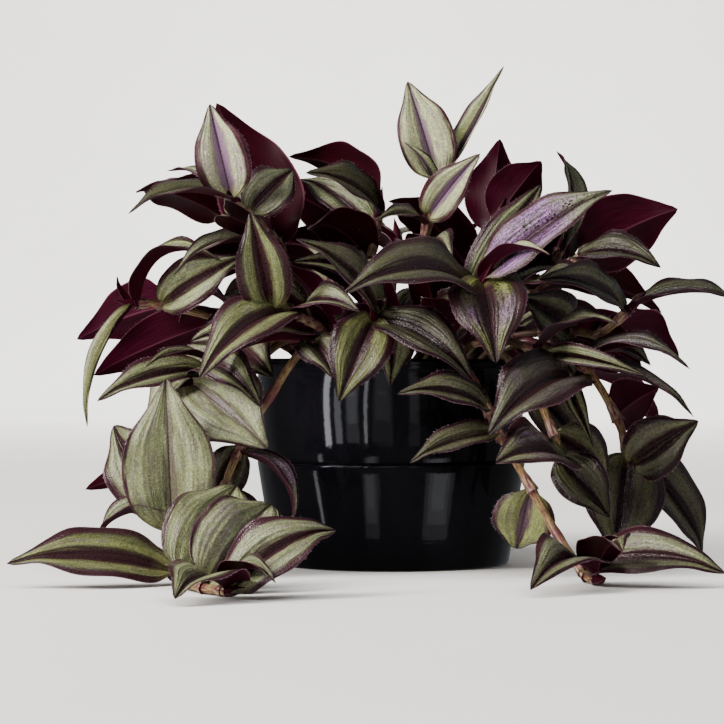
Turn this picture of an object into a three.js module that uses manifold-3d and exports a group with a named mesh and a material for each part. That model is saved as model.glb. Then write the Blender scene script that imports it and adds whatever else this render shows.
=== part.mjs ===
// A tradescantia in a glazed pot, which stands in a deep glazed saucer bowl.
// Millimetres, +Z up, front towards -Y. The origin is the centre of the bowl's flat underside.
import * as THREE from "three";
import { mergeVertices } from "three/addons/utils/BufferGeometryUtils.js";
import Module from "manifold-3d";

const wasm = await Module();
wasm.setup();

// Saucer bowl
const BOWL_HEIGHT = 49.5;
const BOWL_FOOT_RADIUS = 56.5;
const BOWL_RIM_RADIUS = 64.1;
const BOWL_WALL = 2.5;
const BOWL_FLOOR = 4;
const BOWL_CHAMFER = 1.5;

// Pot, which stands on the bowl's floor
const POT_HEIGHT = 98;
const POT_FOOT_RADIUS = 50;
const POT_WAIST_RADIUS = 61.1;
const POT_WAIST_HEIGHT = 50.5;
const POT_BELLY_RADIUS = 63.1;
const POT_BELLY_HEIGHT = 71;
const POT_BAND_RADIUS = 64;
const POT_BAND_HEIGHT = 5;
const POT_RIM_RADIUS = 65;
const POT_CHAMFER = 2;
const POT_WALL = 3;
const POT_FLOOR = 5;
const DRAIN_RADIUS = 4;
const DRAIN_RING = 26;
const DRAIN_HOLES = 4;
const DRAIN_SIDES = 8;
const ROUND_SIDES = 36;

// Potting mix
const SOIL_TOP = 87;
const SOIL_CROWN = 2;
const CROWN_REACH = 0.6;
const CROWN_SHARE = 0.8;
const SOIL_SIDES = 24;
const HOLE_DEPTH = 14;
const HOLE_RADIUS = 3.4;

// Stems and blades
const STEM_RADIUS = 2.1;
const STEM_SIDES = 5;
const STEM_STEP = 16;
const STRAIGHT_RISE = 9;
const BLADE_THICKNESS = 0.7;
const CLASP_THICKNESS = 1.6;
const ROOT_DEPTH = 1.6;
const STATIONS = [0.1, 0.4, 0.74];
const SMALL_STATIONS = [0.16, 0.6];
const SMALL_WIDTH = 28.5;
const CLASP_STEP = 4;
const WIDEST_AT = 0.4;
const BASE_ROUNDNESS = 0.6;

// Clearances
const SEAT = 0.3;
const BLADE_GAP = 3;
const SISTER_GAP = 1.7;
const CLASP_SHARE = 0.22;
const NODE_REACH = 17;
const STEM_GAP = STEM_RADIUS + 1.6;
const ON_SURFACE = STEM_RADIUS + 0.4;
const LOWEST_BLADE = 2;
const VESSEL_GAP = 1.5;
const WALL_GAP = 3;

// The point in front of the plant that the places below are sighted from
const EYE = { x: -14, distance: 1300, z: 102 };

// A place that is seen from there at (across, up) in the plane of the pot's axis, and lies at depth y
function seen(across, up, y) {
  const share = (EYE.distance + y) / EYE.distance;
  return [EYE.x + (across - EYE.x) * share, y, EYE.z + (up - EYE.z) * share];
}

// A place on a stem that lies on the surface that the bowl stands on, or comes down to it
function laid(x, y, rise = 0) {
  return [x, y, ON_SURFACE + rise];
}

// Which way a blade's upper side faces
const FRONT = [0, -1, 0.25];
const FRONT_LEFT = [-0.6, -1, 0.3];
const FRONT_RIGHT = [0.6, -1, 0.3];
const FRONT_UP = [0, -1, 1];
const UP = [0, -0.3, 1];
const LEFT_UP = [-1, -0.25, 0.5];
const BACK = [0, 1, 0.3];
const BACK_UP = [0, 0.8, 1];

// A blade: the node that it grows from, its tip, its width, the way its upper side faces,
// how far its midrib bows up as a share of its length, and how far its halves fold up in degrees
function blade(node, tip, width, faces, bow, fold) {
  return { node, tip, width, faces, bow, fold };
}

// The stems that the front view shows, each from its root in the mix through its nodes to its growing end,
// with its most prominent blades first
const frontStems = [
  {
    name: "stem_upper_left",
    root: [-25, -8],
    nodes: [seen(-36, 118, -14), seen(-48, 140, -24), seen(-57, 156, -32), seen(-77, 175, -38)],
    blades: [
      blade(4, seen(-87, 220, -46), 28, FRONT, 0.06, 22),
      blade(4, seen(-127, 180, -52), 24, UP, 0.14, 20),
      blade(3, seen(-92, 182, -80), 20, LEFT_UP, 0.12, 50),
      blade(4, seen(-47, 189, -22), 25, FRONT, 0.08, 15),
      blade(3, seen(-79, 215, 6), 42, BACK, 0.1, 10),
      blade(3, seen(-99, 156, -62), 22, UP, 0.16, 25),
      blade(4, seen(-107, 190, -6), 17, UP, 0.1, 25),
    ],
  },
  {
    name: "stem_left",
    root: [-34, 8],
    nodes: [seen(-50, 114, 2), seen(-80, 117, -6), seen(-110, 124, -14), seen(-123, 124, -18)],
    blades: [
      blade(4, seen(-147, 66, -34), 13, FRONT_LEFT, 0.14, 58),
      blade(4, seen(-82, 146, -34), 24, UP, 0.3, 28),
      blade(3, seen(-72, 147, -30), 26, FRONT, 0.08, 20),
      blade(3, seen(-150, 108, 18), 32, BACK, 0.14, 15),
      blade(2, seen(-138, 84, 2), 28, BACK, 0.1, 15),
      blade(2, seen(-104, 130, 36), 30, BACK_UP, 0.12, 15),
      blade(4, seen(-132, 137, -22), 8, LEFT_UP, 0.1, 50),
      blade(2, seen(-92, 92, -32), 24, FRONT_UP, 0.12, 18),
    ],
  },
  {
    name: "stem_left_low",
    root: [-42, -16],
    nodes: [seen(-57, 107, -28), seen(-78, 100, -44), seen(-96, 86, -60)],
    blades: [
      blade(3, seen(-60, 56, -96), 45, FRONT, 0.08, 12),
      blade(3, seen(-63, 76, -92), 25, FRONT_UP, 0.24, 20),
      blade(3, seen(-141, 79, -78), 21, FRONT_UP, 0.08, 22),
      blade(2, seen(-124, 70, -46), 36, FRONT_LEFT, 0.12, 16),
      blade(2, seen(-68, 74, -74), 26, FRONT, 0.06, 15),
      blade(3, seen(-118, 95, -80), 12, UP, 0.12, 30),
      blade(1, seen(-94, 112, -48), 26, FRONT_UP, 0.1, 18),
    ],
  },
  {
    name: "stem_left_trailing",
    root: [-28, -36],
    nodes: [
      seen(-47, 108, -48),
      seen(-72, 88, -62),
      seen(-94, 56, -74),
      seen(-105, 15, -96),
      laid(-96, -120, 2.2),
      laid(-89, -146),
      laid(-80, -168),
      laid(-68, -184),
    ],
    blades: [
      blade(4, seen(-108, 88, -98), 43, FRONT, 0.05, 14),
      blade(6, seen(-74, 38, -116), 42, FRONT, 0.08, 20),
      blade(7, seen(-46, 28, -136), 40, FRONT, 0.1, 18),
      blade(5, [-168, -132, 4], 31, FRONT_UP, 0.08, 18),
      blade(8, [-19, -192, 13], 32, FRONT_UP, 0.16, 18),
      blade(3.7, seen(-134, 66, -72), 36, FRONT_LEFT, 0.08, 18),
      blade(8, [-88, -226, 5], 34, UP, 0.12, 18),
      blade(3.3, seen(-146, 36, -56), 24, BACK, 0.14, 20),
      blade(4, seen(-139, 12, -84), 20, LEFT_UP, 0.22, 40),
      blade(8, [-42, -212, 5], 15, UP, 0.16, 40),
    ],
  },
  {
    name: "stem_left_hanging",
    root: [-14, -44],
    nodes: [seen(-38, 105, -70), seen(-58, 80, -80), seen(-74, 52, -84), seen(-81, 34, -88)],
    blades: [
      blade(3, seen(-50, 24, -104), 15, UP, 0.24, 45),
      blade(1, seen(-32, 92, -92), 25, FRONT_UP, 0.14, 18),
      blade(4, seen(-66, 8, -84), 20, FRONT_UP, 0.1, 22),
      blade(3, seen(-96, 34, -80), 22, FRONT, 0.1, 20),
    ],
  },
  {
    name: "stem_front_left",
    root: [-18, -24],
    nodes: [seen(-30, 110, -42), seen(-47, 120, -60), seen(-58, 122, -68)],
    blades: [
      blade(2, seen(-92, 90, -100), 31, FRONT_UP, 0.16, 20),
      blade(3, seen(-76, 167, -78), 27, FRONT, 0.07, 22),
      blade(2, seen(-22, 104, -88), 22, FRONT_UP, 0.16, 24),
      blade(1, seen(-60, 96, -84), 24, BACK_UP, 0.14, 15),
      blade(2, seen(-44, 136, -84), 9, FRONT_UP, 0.1, 45),
      blade(2, seen(-84, 126, -52), 26, FRONT_UP, 0.12, 20),
    ],
  },
  {
    name: "stem_front",
    root: [-3, -26],
    nodes: [seen(-4, 112, -50), seen(-8, 117, -74)],
    blades: [
      blade(2, seen(-25, 78, -92), 30, FRONT, 0.12, 20),
      blade(2, seen(39, 89, -96), 27, FRONT_UP, 0.14, 18),
      blade(2, seen(-56, 133, -92), 23, FRONT_UP, 0.14, 24),
      blade(2, seen(-3, 126, -84), 6, FRONT_UP, 0.1, 50),
      blade(1, seen(14, 92, -82), 24, BACK_UP, 0.12, 16),
      blade(1, seen(-30, 98, -78), 20, BACK_UP, 0.12, 16),
    ],
  },
  {
    name: "stem_front_right",
    root: [16, -18],
    nodes: [seen(27, 113, -36), seen(40, 128, -58), seen(45, 136, -66)],
    blades: [
      blade(3, seen(105, 180, -84), 31, FRONT_UP, 0.05, 18),
      blade(2, seen(-22, 131, -96), 36, FRONT_UP, 0.2, 18),
      blade(3, seen(42, 97, -98), 38, FRONT, 0.12, 20),
      blade(3, seen(78, 142, -96), 14, UP, 0.16, 42),
      blade(2, seen(72, 182, -46), 25, FRONT, 0.08, 18),
      blade(1, seen(58, 98, -66), 26, FRONT, 0.12, 18),
    ],
  },
  {
    name: "stem_top",
    root: [8, 4],
    nodes: [seen(10, 116, 0), seen(13, 140, -8), seen(18, 166, -14), seen(22, 184, -16)],
    blades: [
      blade(4, seen(8, 231, -20), 29, FRONT, 0.05, 22),
      blade(4, seen(53, 239, -24), 18, FRONT_LEFT, -0.08, 52),
      blade(3, seen(42, 196, -38), 22, FRONT, 0.06, 26),
      blade(2, seen(29, 145, -56), 22, UP, 0.22, 30),
      blade(4, seen(6, 199, -32), 10, FRONT_UP, 0.12, 35),
      blade(3, seen(-7, 165, -46), 14, FRONT_UP, 0.1, 30),
      blade(2, seen(-24, 152, -44), 24, BACK_UP, 0.14, 18),
    ],
  },
  {
    name: "stem_top_left",
    root: [-9, -4],
    nodes: [seen(-10, 118, -4), seen(-10, 144, -8), seen(-6, 168, -6)],
    blades: [
      blade(3, seen(-40, 188, -28), 25, FRONT_UP, 0.12, 20),
      blade(3, seen(-46, 190, 28), 36, BACK_UP, 0.2, 15),
      blade(3, seen(-30, 200, 4), 24, FRONT_UP, 0.1, 18),
      blade(2, seen(-40, 161, -34), 30, BACK_UP, 0.22, 16),
      blade(2, seen(-46, 145, -48), 17, FRONT, 0.1, 25),
      blade(2, seen(-52, 164, 4), 28, BACK_UP, 0.12, 16),
      blade(3, seen(-64, 184, 6), 30, BACK, 0.12, 15),
    ],
  },
  {
    name: "stem_top_right",
    root: [20, 10],
    nodes: [seen(28, 118, 12), seen(40, 145, 14), seen(50, 164, 14)],
    blades: [
      blade(3, seen(72, 193, 4), 27, BACK, 0.1, 18),
      blade(3, seen(52, 203, 24), 29, BACK, 0.1, 18),
      blade(2, seen(74, 158, -22), 26, FRONT_UP, 0.14, 20),
      blade(2, seen(0, 160, -30), 31, BACK_UP, 0.14, 15),
      blade(3, seen(88, 182, 34), 28, BACK_UP, 0.12, 18),
    ],
  },
  {
    name: "stem_right_high",
    root: [36, 4],
    nodes: [seen(48, 112, 0), seen(72, 134, -4), seen(93, 148, -8)],
    blades: [
      blade(3, seen(137, 170, -2), 38, BACK, 0.14, 15),
      blade(3, seen(129, 143, -40), 24, FRONT_UP, 0.12, 22),
      blade(2, seen(134, 128, 16), 28, BACK_UP, 0.12, 16),
      blade(3, seen(112, 169, 12), 25, BACK_UP, 0.1, 20),
      blade(2, seen(96, 132, -44), 24, FRONT_UP, 0.12, 20),
    ],
  },
  {
    name: "stem_right",
    root: [42, -8],
    nodes: [seen(57, 108, -14), seen(86, 111, -24), seen(100, 110, -32), seen(115, 122, -38)],
    blades: [
      blade(4, seen(166, 127, -52), 27, UP, 0.1, 20),
      blade(4, seen(72, 137, -62), 27, FRONT_UP, 0.14, 18),
      blade(2, seen(62, 128, -52), 27, FRONT, 0.08, 16),
      blade(3, seen(138, 100, -12), 32, BACK_UP, 0.12, 15),
      blade(2, seen(118, 88, -40), 28, BACK, 0.1, 18),
    ],
  },
  {
    name: "stem_right_middle",
    root: [36, -26],
    nodes: [seen(50, 107, -42), seen(70, 101, -58), seen(90, 89, -70)],
    blades: [
      blade(3, seen(47, 63, -106), 37, FRONT_UP, 0.16, 18),
      blade(3, seen(143, 95, -90), 25, UP, 0.18, 22),
      blade(3, seen(142, 80, -104), 15, UP, 0.1, 30),
      blade(3, seen(82, 66, -104), 13, FRONT, 0.1, 40),
      blade(3, seen(112, 70, -102), 13, FRONT, 0.1, 40),
      blade(2, seen(108, 116, -78), 24, UP, 0.14, 20),
    ],
  },
  {
    name: "stem_right_low",
    root: [28, -38],
    nodes: [seen(45, 106, -54), seen(66, 86, -68), seen(78, 62, -76), seen(82, 47, -80)],
    blades: [
      blade(4, seen(51, 49, -114), 37, FRONT_UP, 0.14, 16),
      blade(3, seen(104, 42, -72), 27, FRONT, 0.08, 20),
      blade(4, seen(94, 14, -84), 25, FRONT, 0.08, 20),
      blade(2, seen(104, 68, -66), 26, FRONT, 0.1, 20),
    ],
  },
  {
    name: "stem_far_right",
    root: [47, -14],
    nodes: [seen(66, 106, -18), seen(92, 94, -32), seen(108, 70, -44), seen(115, 47, -52)],
    blades: [
      blade(4, seen(147, 68, -70), 30, FRONT, 0.08, 20),
      blade(4, seen(107, 3, -64), 39, FRONT, 0.08, 16),
      blade(3.6, seen(152, 0, -74), 27, FRONT_RIGHT, 0.1, 18),
      blade(3, seen(128, 84, -34), 26, BACK, 0.1, 18),
      blade(4, seen(138, 45, -76), 13, UP, 0.12, 42),
      blade(2, seen(126, 104, -56), 24, UP, 0.16, 20),
    ],
  },
  {
    name: "stem_right_trailing",
    root: [10, -42],
    nodes: [
      seen(24, 107, -62),
      seen(39, 88, -78),
      seen(52, 62, -86),
      seen(67, 36, -92),
      seen(80, 13, -100),
      laid(84, -116, 1.2),
      laid(88, -130),
    ],
    blades: [
      blade(6, [56, -188, 6], 31, FRONT_UP, 0.12, 20),
      blade(6, [141, -142, 8], 29, FRONT_UP, 0.12, 20),
      blade(3, seen(9, 49, -100), 17, FRONT_UP, 0.08, 25),
      blade(2.6, seen(7, 92, -98), 21, FRONT_UP, 0.14, 22),
      blade(4, seen(60, 6, -76), 29, FRONT, 0.08, 14),
      blade(7, [92, -162, 5], 14, UP, 0.14, 40),
      blade(7, [112, -172, 7], 24, UP, 0.14, 25),
      blade(1, seen(40, 118, -84), 22, UP, 0.12, 22),
    ],
  },
];

// Stems of the back and the sides, which in turn stand high and arch low. Two numbers in brackets are the
// range that a measure is drawn from. Turns and lifts are in radians, the bearings and folds in degrees.
const BACK_STEMS = 9;
const BACK_FROM = 14;
const BACK_TO = 160;
const BACK_SWAY = 4;
const BACK_SEED = 41;
const BACK_ROOT = [18, 30];
const LOW_ROOT_EXTRA = 14;
const HIGH_REACH = [62, 88];
const HIGH_END = [148, 174];
const HIGH_SHOULDER = 116;
const HIGH_KNEE = 136;
const HIGH_LIFT = 0.12;
const LOW_REACH = [96, 116];
const LOW_END = [66, 104];
const LOW_SHOULDER = 110;
const LOW_CREST = 112;
const LOW_LIFT = -0.15;
const BACK_SIZE = [46, 62];
const BACK_LIFT = [-0.5, 0.6];
const BACK_TURN = 0.25;
const BACK_WIDTH = [0.44, 0.56];
const BACK_BOW = [0.06, 0.18];
const BACK_FOLD = [14, 28];

// A back stem's blades: the node of each, and its turn from the stem's bearing
const BACK_BLADES = [
  [4, 0.05],
  [4, 0.85],
  [3, -0.7],
  [3, 1.05],
  [2, -0.95],
  [1, -1.15],
];

// Blades low on the front stems
const INNER_SEED = 7;
const INNER_SIZE = [42, 54];
const INNER_LIFT = [0.1, 0.9];
const INNER_TURN = 1.3;
const INNER_WIDTH = [0.44, 0.54];
const INNER_BOW = 0.1;
const INNER_FOLD = [14, 26];

// How far the seeded blades face outwards, as a share of how far they face up
const OUTWARD = 0.5;

// Numbers from 0 to 1, the same ones for the same seed
function draws(seed) {
  let state = seed;
  return () => {
    state = (Math.imul(state, 1664525) + 1013904223) >>> 0;
    return state / 4294967296;
  };
}

function between(draw, low, high) {
  return low + (high - low) * draw();
}

const radians = THREE.MathUtils.degToRad;

// A place at a level distance and a rise from another one, at a bearing
function from([x, y, z], bearing, distance, rise) {
  return [x + Math.cos(bearing) * distance, y + Math.sin(bearing) * distance, z + rise];
}

// One stem of the back: it leaves the pot at its own bearing and carries blades to both sides in turn
function backStem(index, draw) {
  const share = index / (BACK_STEMS - 1);
  const sway = between(draw, -BACK_SWAY, BACK_SWAY);
  const bearing = radians(BACK_FROM + (BACK_TO - BACK_FROM) * share + sway);
  const high = index % 2 === 0;
  const rootReach = between(draw, ...BACK_ROOT) + (high ? 0 : LOW_ROOT_EXTRA);
  const reach = between(draw, ...(high ? HIGH_REACH : LOW_REACH));
  const end = between(draw, ...(high ? HIGH_END : LOW_END));
  const out = (distance, z, swing) => from([0, 0, 0], bearing + swing, distance, z);
  const nodes = high
    ? [
        out(rootReach + 8, HIGH_SHOULDER, 0),
        out((rootReach + reach) / 2, HIGH_KNEE, 0.06),
        out(reach - 10, end - 16, -0.04),
        out(reach, end, 0.02),
      ]
    : [
        out(rootReach + 14, LOW_SHOULDER, 0),
        out(reach * 0.74, LOW_CREST, -0.05),
        out(reach * 0.9, (end + LOW_CREST) / 2, 0.04),
        out(reach, end, 0),
      ];
  const blades = BACK_BLADES.map(([node, turn]) => {
    const size = between(draw, ...BACK_SIZE);
    const rise = between(draw, ...BACK_LIFT) + (high ? HIGH_LIFT : LOW_LIFT);
    const swing = bearing + turn + between(draw, -BACK_TURN, BACK_TURN);
    const tip = from(nodes[node - 1], swing, size * Math.cos(rise), size * Math.sin(rise));
    const width = size * between(draw, ...BACK_WIDTH);
    const faces = from([0, 0, 1], bearing, OUTWARD, 0);
    return blade(node, tip, width, faces, between(draw, ...BACK_BOW), between(draw, ...BACK_FOLD));
  });
  const [x, y] = out(rootReach, 0, 0);
  return { name: `stem_back_${index + 1}`, root: [x, y], nodes, blades };
}

// A blade low on a front stem, which fills the plant's middle
function innerBlade(stem, draw) {
  const [x, y] = stem.nodes[0];
  const bearing = Math.atan2(y, x) + between(draw, -INNER_TURN, INNER_TURN);
  const size = between(draw, ...INNER_SIZE);
  const rise = between(draw, ...INNER_LIFT);
  const tip = from(stem.nodes[0], bearing, size * Math.cos(rise), size * Math.sin(rise));
  const width = size * between(draw, ...INNER_WIDTH);
  const faces = from([0, 0, 1], bearing, OUTWARD, 0);
  return blade(1, tip, width, faces, INNER_BOW, between(draw, ...INNER_FOLD));
}

// Solids
function solidOf(geometry) {
  const bare = geometry.clone();
  bare.deleteAttribute("normal");
  bare.deleteAttribute("uv");
  const merged = mergeVertices(bare, 1e-4);
  const mesh = new wasm.Mesh({
    numProp: 3,
    vertProperties: new Float32Array(merged.attributes.position.array),
    triVerts: new Uint32Array(merged.index.array),
  });
  return new wasm.Manifold(mesh);
}

function geometryOf(solid) {
  const mesh = solid.getMesh();
  const geometry = new THREE.BufferGeometry();
  geometry.setAttribute("position", new THREE.BufferAttribute(mesh.vertProperties, 3));
  geometry.setIndex(new THREE.BufferAttribute(mesh.triVerts, 1));
  geometry.computeVertexNormals();
  return geometry;
}

// A turned solid about +Z from (radius, height) points that start and end on the axis
function turned(points, sides) {
  const profile = points.map(([radius, height]) => new THREE.Vector2(radius, height));
  return new THREE.LatheGeometry(profile, sides).rotateX(Math.PI / 2);
}

// A glazed lip: points round half a circle from the outer side of a wall to its inner side
function lip(outerRadius, wall, top) {
  const radius = wall / 2;
  return [0, 45, 90, 135, 180].map((angle) => [
    outerRadius - radius + radius * Math.cos(radians(angle)),
    top - radius + radius * Math.sin(radians(angle)),
  ]);
}

function bowlGeometry() {
  const inside = BOWL_FOOT_RADIUS - BOWL_WALL;
  return turned(
    [
      [0, 0],
      [BOWL_FOOT_RADIUS - BOWL_CHAMFER, 0],
      [BOWL_FOOT_RADIUS, BOWL_CHAMFER],
      ...lip(BOWL_RIM_RADIUS, BOWL_WALL, BOWL_HEIGHT),
      [inside, BOWL_FLOOR + BOWL_CHAMFER],
      [inside - BOWL_CHAMFER, BOWL_FLOOR],
      [0, BOWL_FLOOR],
    ],
    ROUND_SIDES,
  );
}

function potGeometry() {
  const foot = BOWL_FLOOR + SEAT;
  const bandBottom = POT_HEIGHT - POT_BAND_HEIGHT;
  const blank = solidOf(
    turned(
      [
        [0, foot],
        [POT_FOOT_RADIUS - POT_CHAMFER, foot],
        [POT_FOOT_RADIUS, foot + POT_CHAMFER],
        [POT_WAIST_RADIUS, POT_WAIST_HEIGHT],
        [POT_BELLY_RADIUS, POT_BELLY_HEIGHT],
        [POT_BAND_RADIUS, bandBottom],
        ...lip(POT_RIM_RADIUS, POT_WALL, POT_HEIGHT),
        [POT_BAND_RADIUS - POT_WALL, bandBottom],
        [POT_WAIST_RADIUS - POT_WALL, POT_WAIST_HEIGHT],
        [POT_FOOT_RADIUS - POT_WALL, foot + POT_FLOOR],
        [0, foot + POT_FLOOR],
      ],
      ROUND_SIDES,
    ),
  );
  const drill = new THREE.CylinderGeometry(DRAIN_RADIUS, DRAIN_RADIUS, POT_FLOOR * 3, DRAIN_SIDES);
  drill.rotateX(Math.PI / 2);
  let pot = blank;
  for (let hole = 0; hole < DRAIN_HOLES; hole += 1) {
    const bearing = (hole / DRAIN_HOLES) * 2 * Math.PI;
    const place = [Math.cos(bearing) * DRAIN_RING, Math.sin(bearing) * DRAIN_RING, foot];
    pot = pot.subtract(solidOf(drill.clone().translate(...place)));
  }
  return geometryOf(pot);
}

// The mix fills the pot up to a low crown, with a plain hole for each stem
function soilGeometry(stems) {
  const bottom = BOWL_FLOOR + SEAT + POT_FLOOR + SEAT;
  const wallAt = (height) => {
    const low = [POT_FOOT_RADIUS - POT_WALL, BOWL_FLOOR + SEAT + POT_FLOOR];
    const waist = [POT_WAIST_RADIUS - POT_WALL, POT_WAIST_HEIGHT];
    const high = [POT_BAND_RADIUS - POT_WALL, POT_HEIGHT - POT_BAND_HEIGHT];
    const [from, to] = height < POT_WAIST_HEIGHT ? [low, waist] : [waist, high];
    return from[0] + ((to[0] - from[0]) * (height - from[1])) / (to[1] - from[1]);
  };
  // the pot has flat sides, so the mix stays inside the middle of a side
  const inside = (height) => wallAt(height) * Math.cos(Math.PI / ROUND_SIDES) - SEAT;
  let soil = solidOf(
    turned(
      [
        [0, bottom],
        [inside(bottom), bottom],
        [inside(POT_WAIST_HEIGHT), POT_WAIST_HEIGHT],
        [inside(SOIL_TOP), SOIL_TOP],
        [inside(SOIL_TOP) * CROWN_REACH, SOIL_TOP + SOIL_CROWN * CROWN_SHARE],
        [0, SOIL_TOP + SOIL_CROWN],
      ],
      SOIL_SIDES,
    ),
  );
  const drill = new THREE.CylinderGeometry(HOLE_RADIUS, HOLE_RADIUS, HOLE_DEPTH * 2, STEM_SIDES);
  drill.rotateX(Math.PI / 2);
  for (const stem of stems) {
    const middle = SOIL_TOP - SEAT;
    soil = soil.subtract(solidOf(drill.clone().translate(...stem.root, middle)));
  }
  return geometryOf(soil);
}

function tubeAlong(curve, radius, steps) {
  const section = new THREE.Shape();
  for (let side = 0; side < STEM_SIDES; side += 1) {
    const angle = (side / STEM_SIDES) * 2 * Math.PI;
    const move = side === 0 ? "moveTo" : "lineTo";
    section[move](radius * Math.cos(angle), radius * Math.sin(angle));
  }
  return new THREE.ExtrudeGeometry(section, { steps, extrudePath: curve, bevelEnabled: false });
}

// The stem's course: straight up out of the mix, then through its nodes
function courseOf(stem) {
  const [x, y] = stem.root;
  const buried = [x, y, SOIL_TOP - HOLE_DEPTH];
  const collar = [x, y, SOIL_TOP + SOIL_CROWN];
  const risen = [x, y, SOIL_TOP + STRAIGHT_RISE];
  const points = [buried, collar, risen, ...stem.nodes];
  const vectors = points.map((point) => new THREE.Vector3(...point));
  return new THREE.CatmullRomCurve3(vectors, false, "catmullrom");
}

// Node 1 is the first above the mix. Blades that share a node clasp the stem one below the other.
function nodePlace(stem, leaf) {
  const sisters = stem.blades.filter((other) => other.node === leaf.node);
  const below = (sisters.indexOf(leaf) * CLASP_STEP) / stem.curve.getLength();
  return stem.curve.getPoint((leaf.node + 2) / (stem.curve.points.length - 1) - below);
}

// A blade's own frame: along its length, across it, and out of its upper side
function frameOf(base, tip, faces) {
  const along = tip.clone().sub(base);
  const length = along.length();
  along.normalize();
  const out = new THREE.Vector3(...faces);
  out.addScaledVector(along, -out.dot(along)).normalize();
  const across = along.clone().cross(out);
  return { base, along, across, out, length };
}

// Half the width of a blade at share s of its length: a rounded base and a long pointed tip
function halfWidth(width, s) {
  const tipPower = (BASE_ROUNDNESS * (1 - WIDEST_AT)) / WIDEST_AT;
  const shape = (s / WIDEST_AT) ** BASE_ROUNDNESS * ((1 - s) / (1 - WIDEST_AT)) ** tipPower;
  return (width / 2) * shape;
}

// A point of a blade at share s along it, t across it from -1 to 1, and a height over its middle surface
function bladePoint(frame, leaf, s, t, height) {
  const slope = leaf.bow * 4 * (1 - 2 * s);
  const ahead = frame.along.clone().addScaledVector(frame.out, slope).normalize();
  const up = frame.across.clone().cross(ahead);
  const half = halfWidth(leaf.width, s);
  const fold = radians(leaf.fold);
  return frame.base
    .clone()
    .addScaledVector(frame.along, frame.length * s)
    .addScaledVector(frame.out, frame.length * leaf.bow * 4 * s * (1 - s))
    .addScaledVector(frame.across, half * t * Math.cos(fold))
    .addScaledVector(up, half * Math.abs(t) * Math.sin(fold) + height);
}

// A closed thin blade, with both faces split into triangles alike. Its root is thicker and starts
// inside the stem.
function bladeGeometry(frame, leaf) {
  const root = frame.base.clone().addScaledVector(frame.along, -ROOT_DEPTH);
  const positions = [...root];
  const index = [];
  const half = BLADE_THICKNESS / 2;
  const stations = leaf.width > SMALL_WIDTH ? STATIONS : SMALL_STATIONS;
  for (const s of stations) {
    const thick = s === stations[0] ? CLASP_THICKNESS / 2 : half;
    for (const height of [thick, -thick]) {
      for (const t of [-1, 0, 1]) {
        positions.push(...bladePoint(frame, leaf, s, t, height));
      }
    }
  }
  for (const height of [half, -half]) {
    positions.push(...bladePoint(frame, leaf, 1, 0, height));
  }
  const first = 1;
  const ring = [0, 1, 2, 5, 4, 3].map((corner) => first + corner);
  ring.forEach((corner, at) => index.push(0, ring[(at + 1) % ring.length], corner));
  const quad = (a, b, c, d) => index.push(a, b, c, a, c, d);
  const last = first + (stations.length - 1) * 6;
  for (let at = first; at < last; at += 6) {
    const next = at + 6;
    quad(at, at + 1, next + 1, next);
    quad(at + 1, at + 2, next + 2, next + 1);
    quad(at + 3, next + 3, next + 4, at + 4);
    quad(at + 4, next + 4, next + 5, at + 5);
    quad(at, next, next + 3, at + 3);
    quad(at + 2, at + 5, next + 5, next + 2);
  }
  const top = last + 6;
  const under = last + 7;
  index.push(last, last + 1, top, last + 1, last + 2, top);
  index.push(last + 3, under, last + 4, last + 4, under, last + 5);
  quad(last, top, under, last + 3);
  quad(last + 2, last + 5, under, top);
  const geometry = new THREE.BufferGeometry();
  geometry.setAttribute("position", new THREE.Float32BufferAttribute(positions, 3));
  geometry.setIndex(index);
  return geometry;
}

// Places that are taken, kept by cells so that near ones are found fast
const CELL = 4.5;
const taken = new Map();

function cellKey(x, y, z) {
  return `${Math.floor(x / CELL)},${Math.floor(y / CELL)},${Math.floor(z / CELL)}`;
}

function take(point, stem, leaf, share) {
  const key = cellKey(point.x, point.y, point.z);
  if (!taken.has(key)) {
    taken.set(key, []);
  }
  taken.get(key).push({ point, stem, leaf, share });
}

function near(point) {
  const found = [];
  for (const x of [-CELL, 0, CELL]) {
    for (const y of [-CELL, 0, CELL]) {
      for (const z of [-CELL, 0, CELL]) {
        found.push(...(taken.get(cellKey(point.x + x, point.y + y, point.z + z)) ?? []));
      }
    }
  }
  return found;
}

// Points spread over a blade, past its clasp
const SPREAD_FROM = 0.06;
const SPREAD_ALONG = 22;
const SPREAD_ACROSS = 9;

function spreadOver(frame, leaf) {
  const points = [];
  for (let i = 1; i <= SPREAD_ALONG; i += 1) {
    const share = SPREAD_FROM + ((1 - SPREAD_FROM) * i) / SPREAD_ALONG;
    for (let j = 0; j < SPREAD_ACROSS; j += 1) {
      const t = (2 * j) / (SPREAD_ACROSS - 1) - 1;
      points.push({ share, point: bladePoint(frame, leaf, share, t, 0) });
    }
  }
  return points;
}

// Clear of the surface, of the pot and bowl, and of the mix
function clearOfPot({ x, y, z }) {
  const reach = Math.hypot(x, y);
  if (z < LOWEST_BLADE) {
    return false;
  }
  if (reach < POT_RIM_RADIUS + VESSEL_GAP && z < POT_HEIGHT + VESSEL_GAP) {
    return reach < POT_RIM_RADIUS - POT_WALL - WALL_GAP && z > SOIL_TOP + SOIL_CROWN + VESSEL_GAP;
  }
  return true;
}

function clearOfPlant(point, share, stem, base) {
  for (const other of near(point)) {
    const own = other.stem === stem;
    let gap = own ? SISTER_GAP : BLADE_GAP;
    if (other.leaf === null) {
      gap = STEM_GAP;
      if (own && (share < CLASP_SHARE || other.point.distanceTo(base) < NODE_REACH)) {
        continue;
      }
    } else if (own && (share < CLASP_SHARE || other.share < CLASP_SHARE)) {
      continue;
    }
    if (other.point.distanceTo(point) < gap) {
      return false;
    }
  }
  return true;
}

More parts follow.
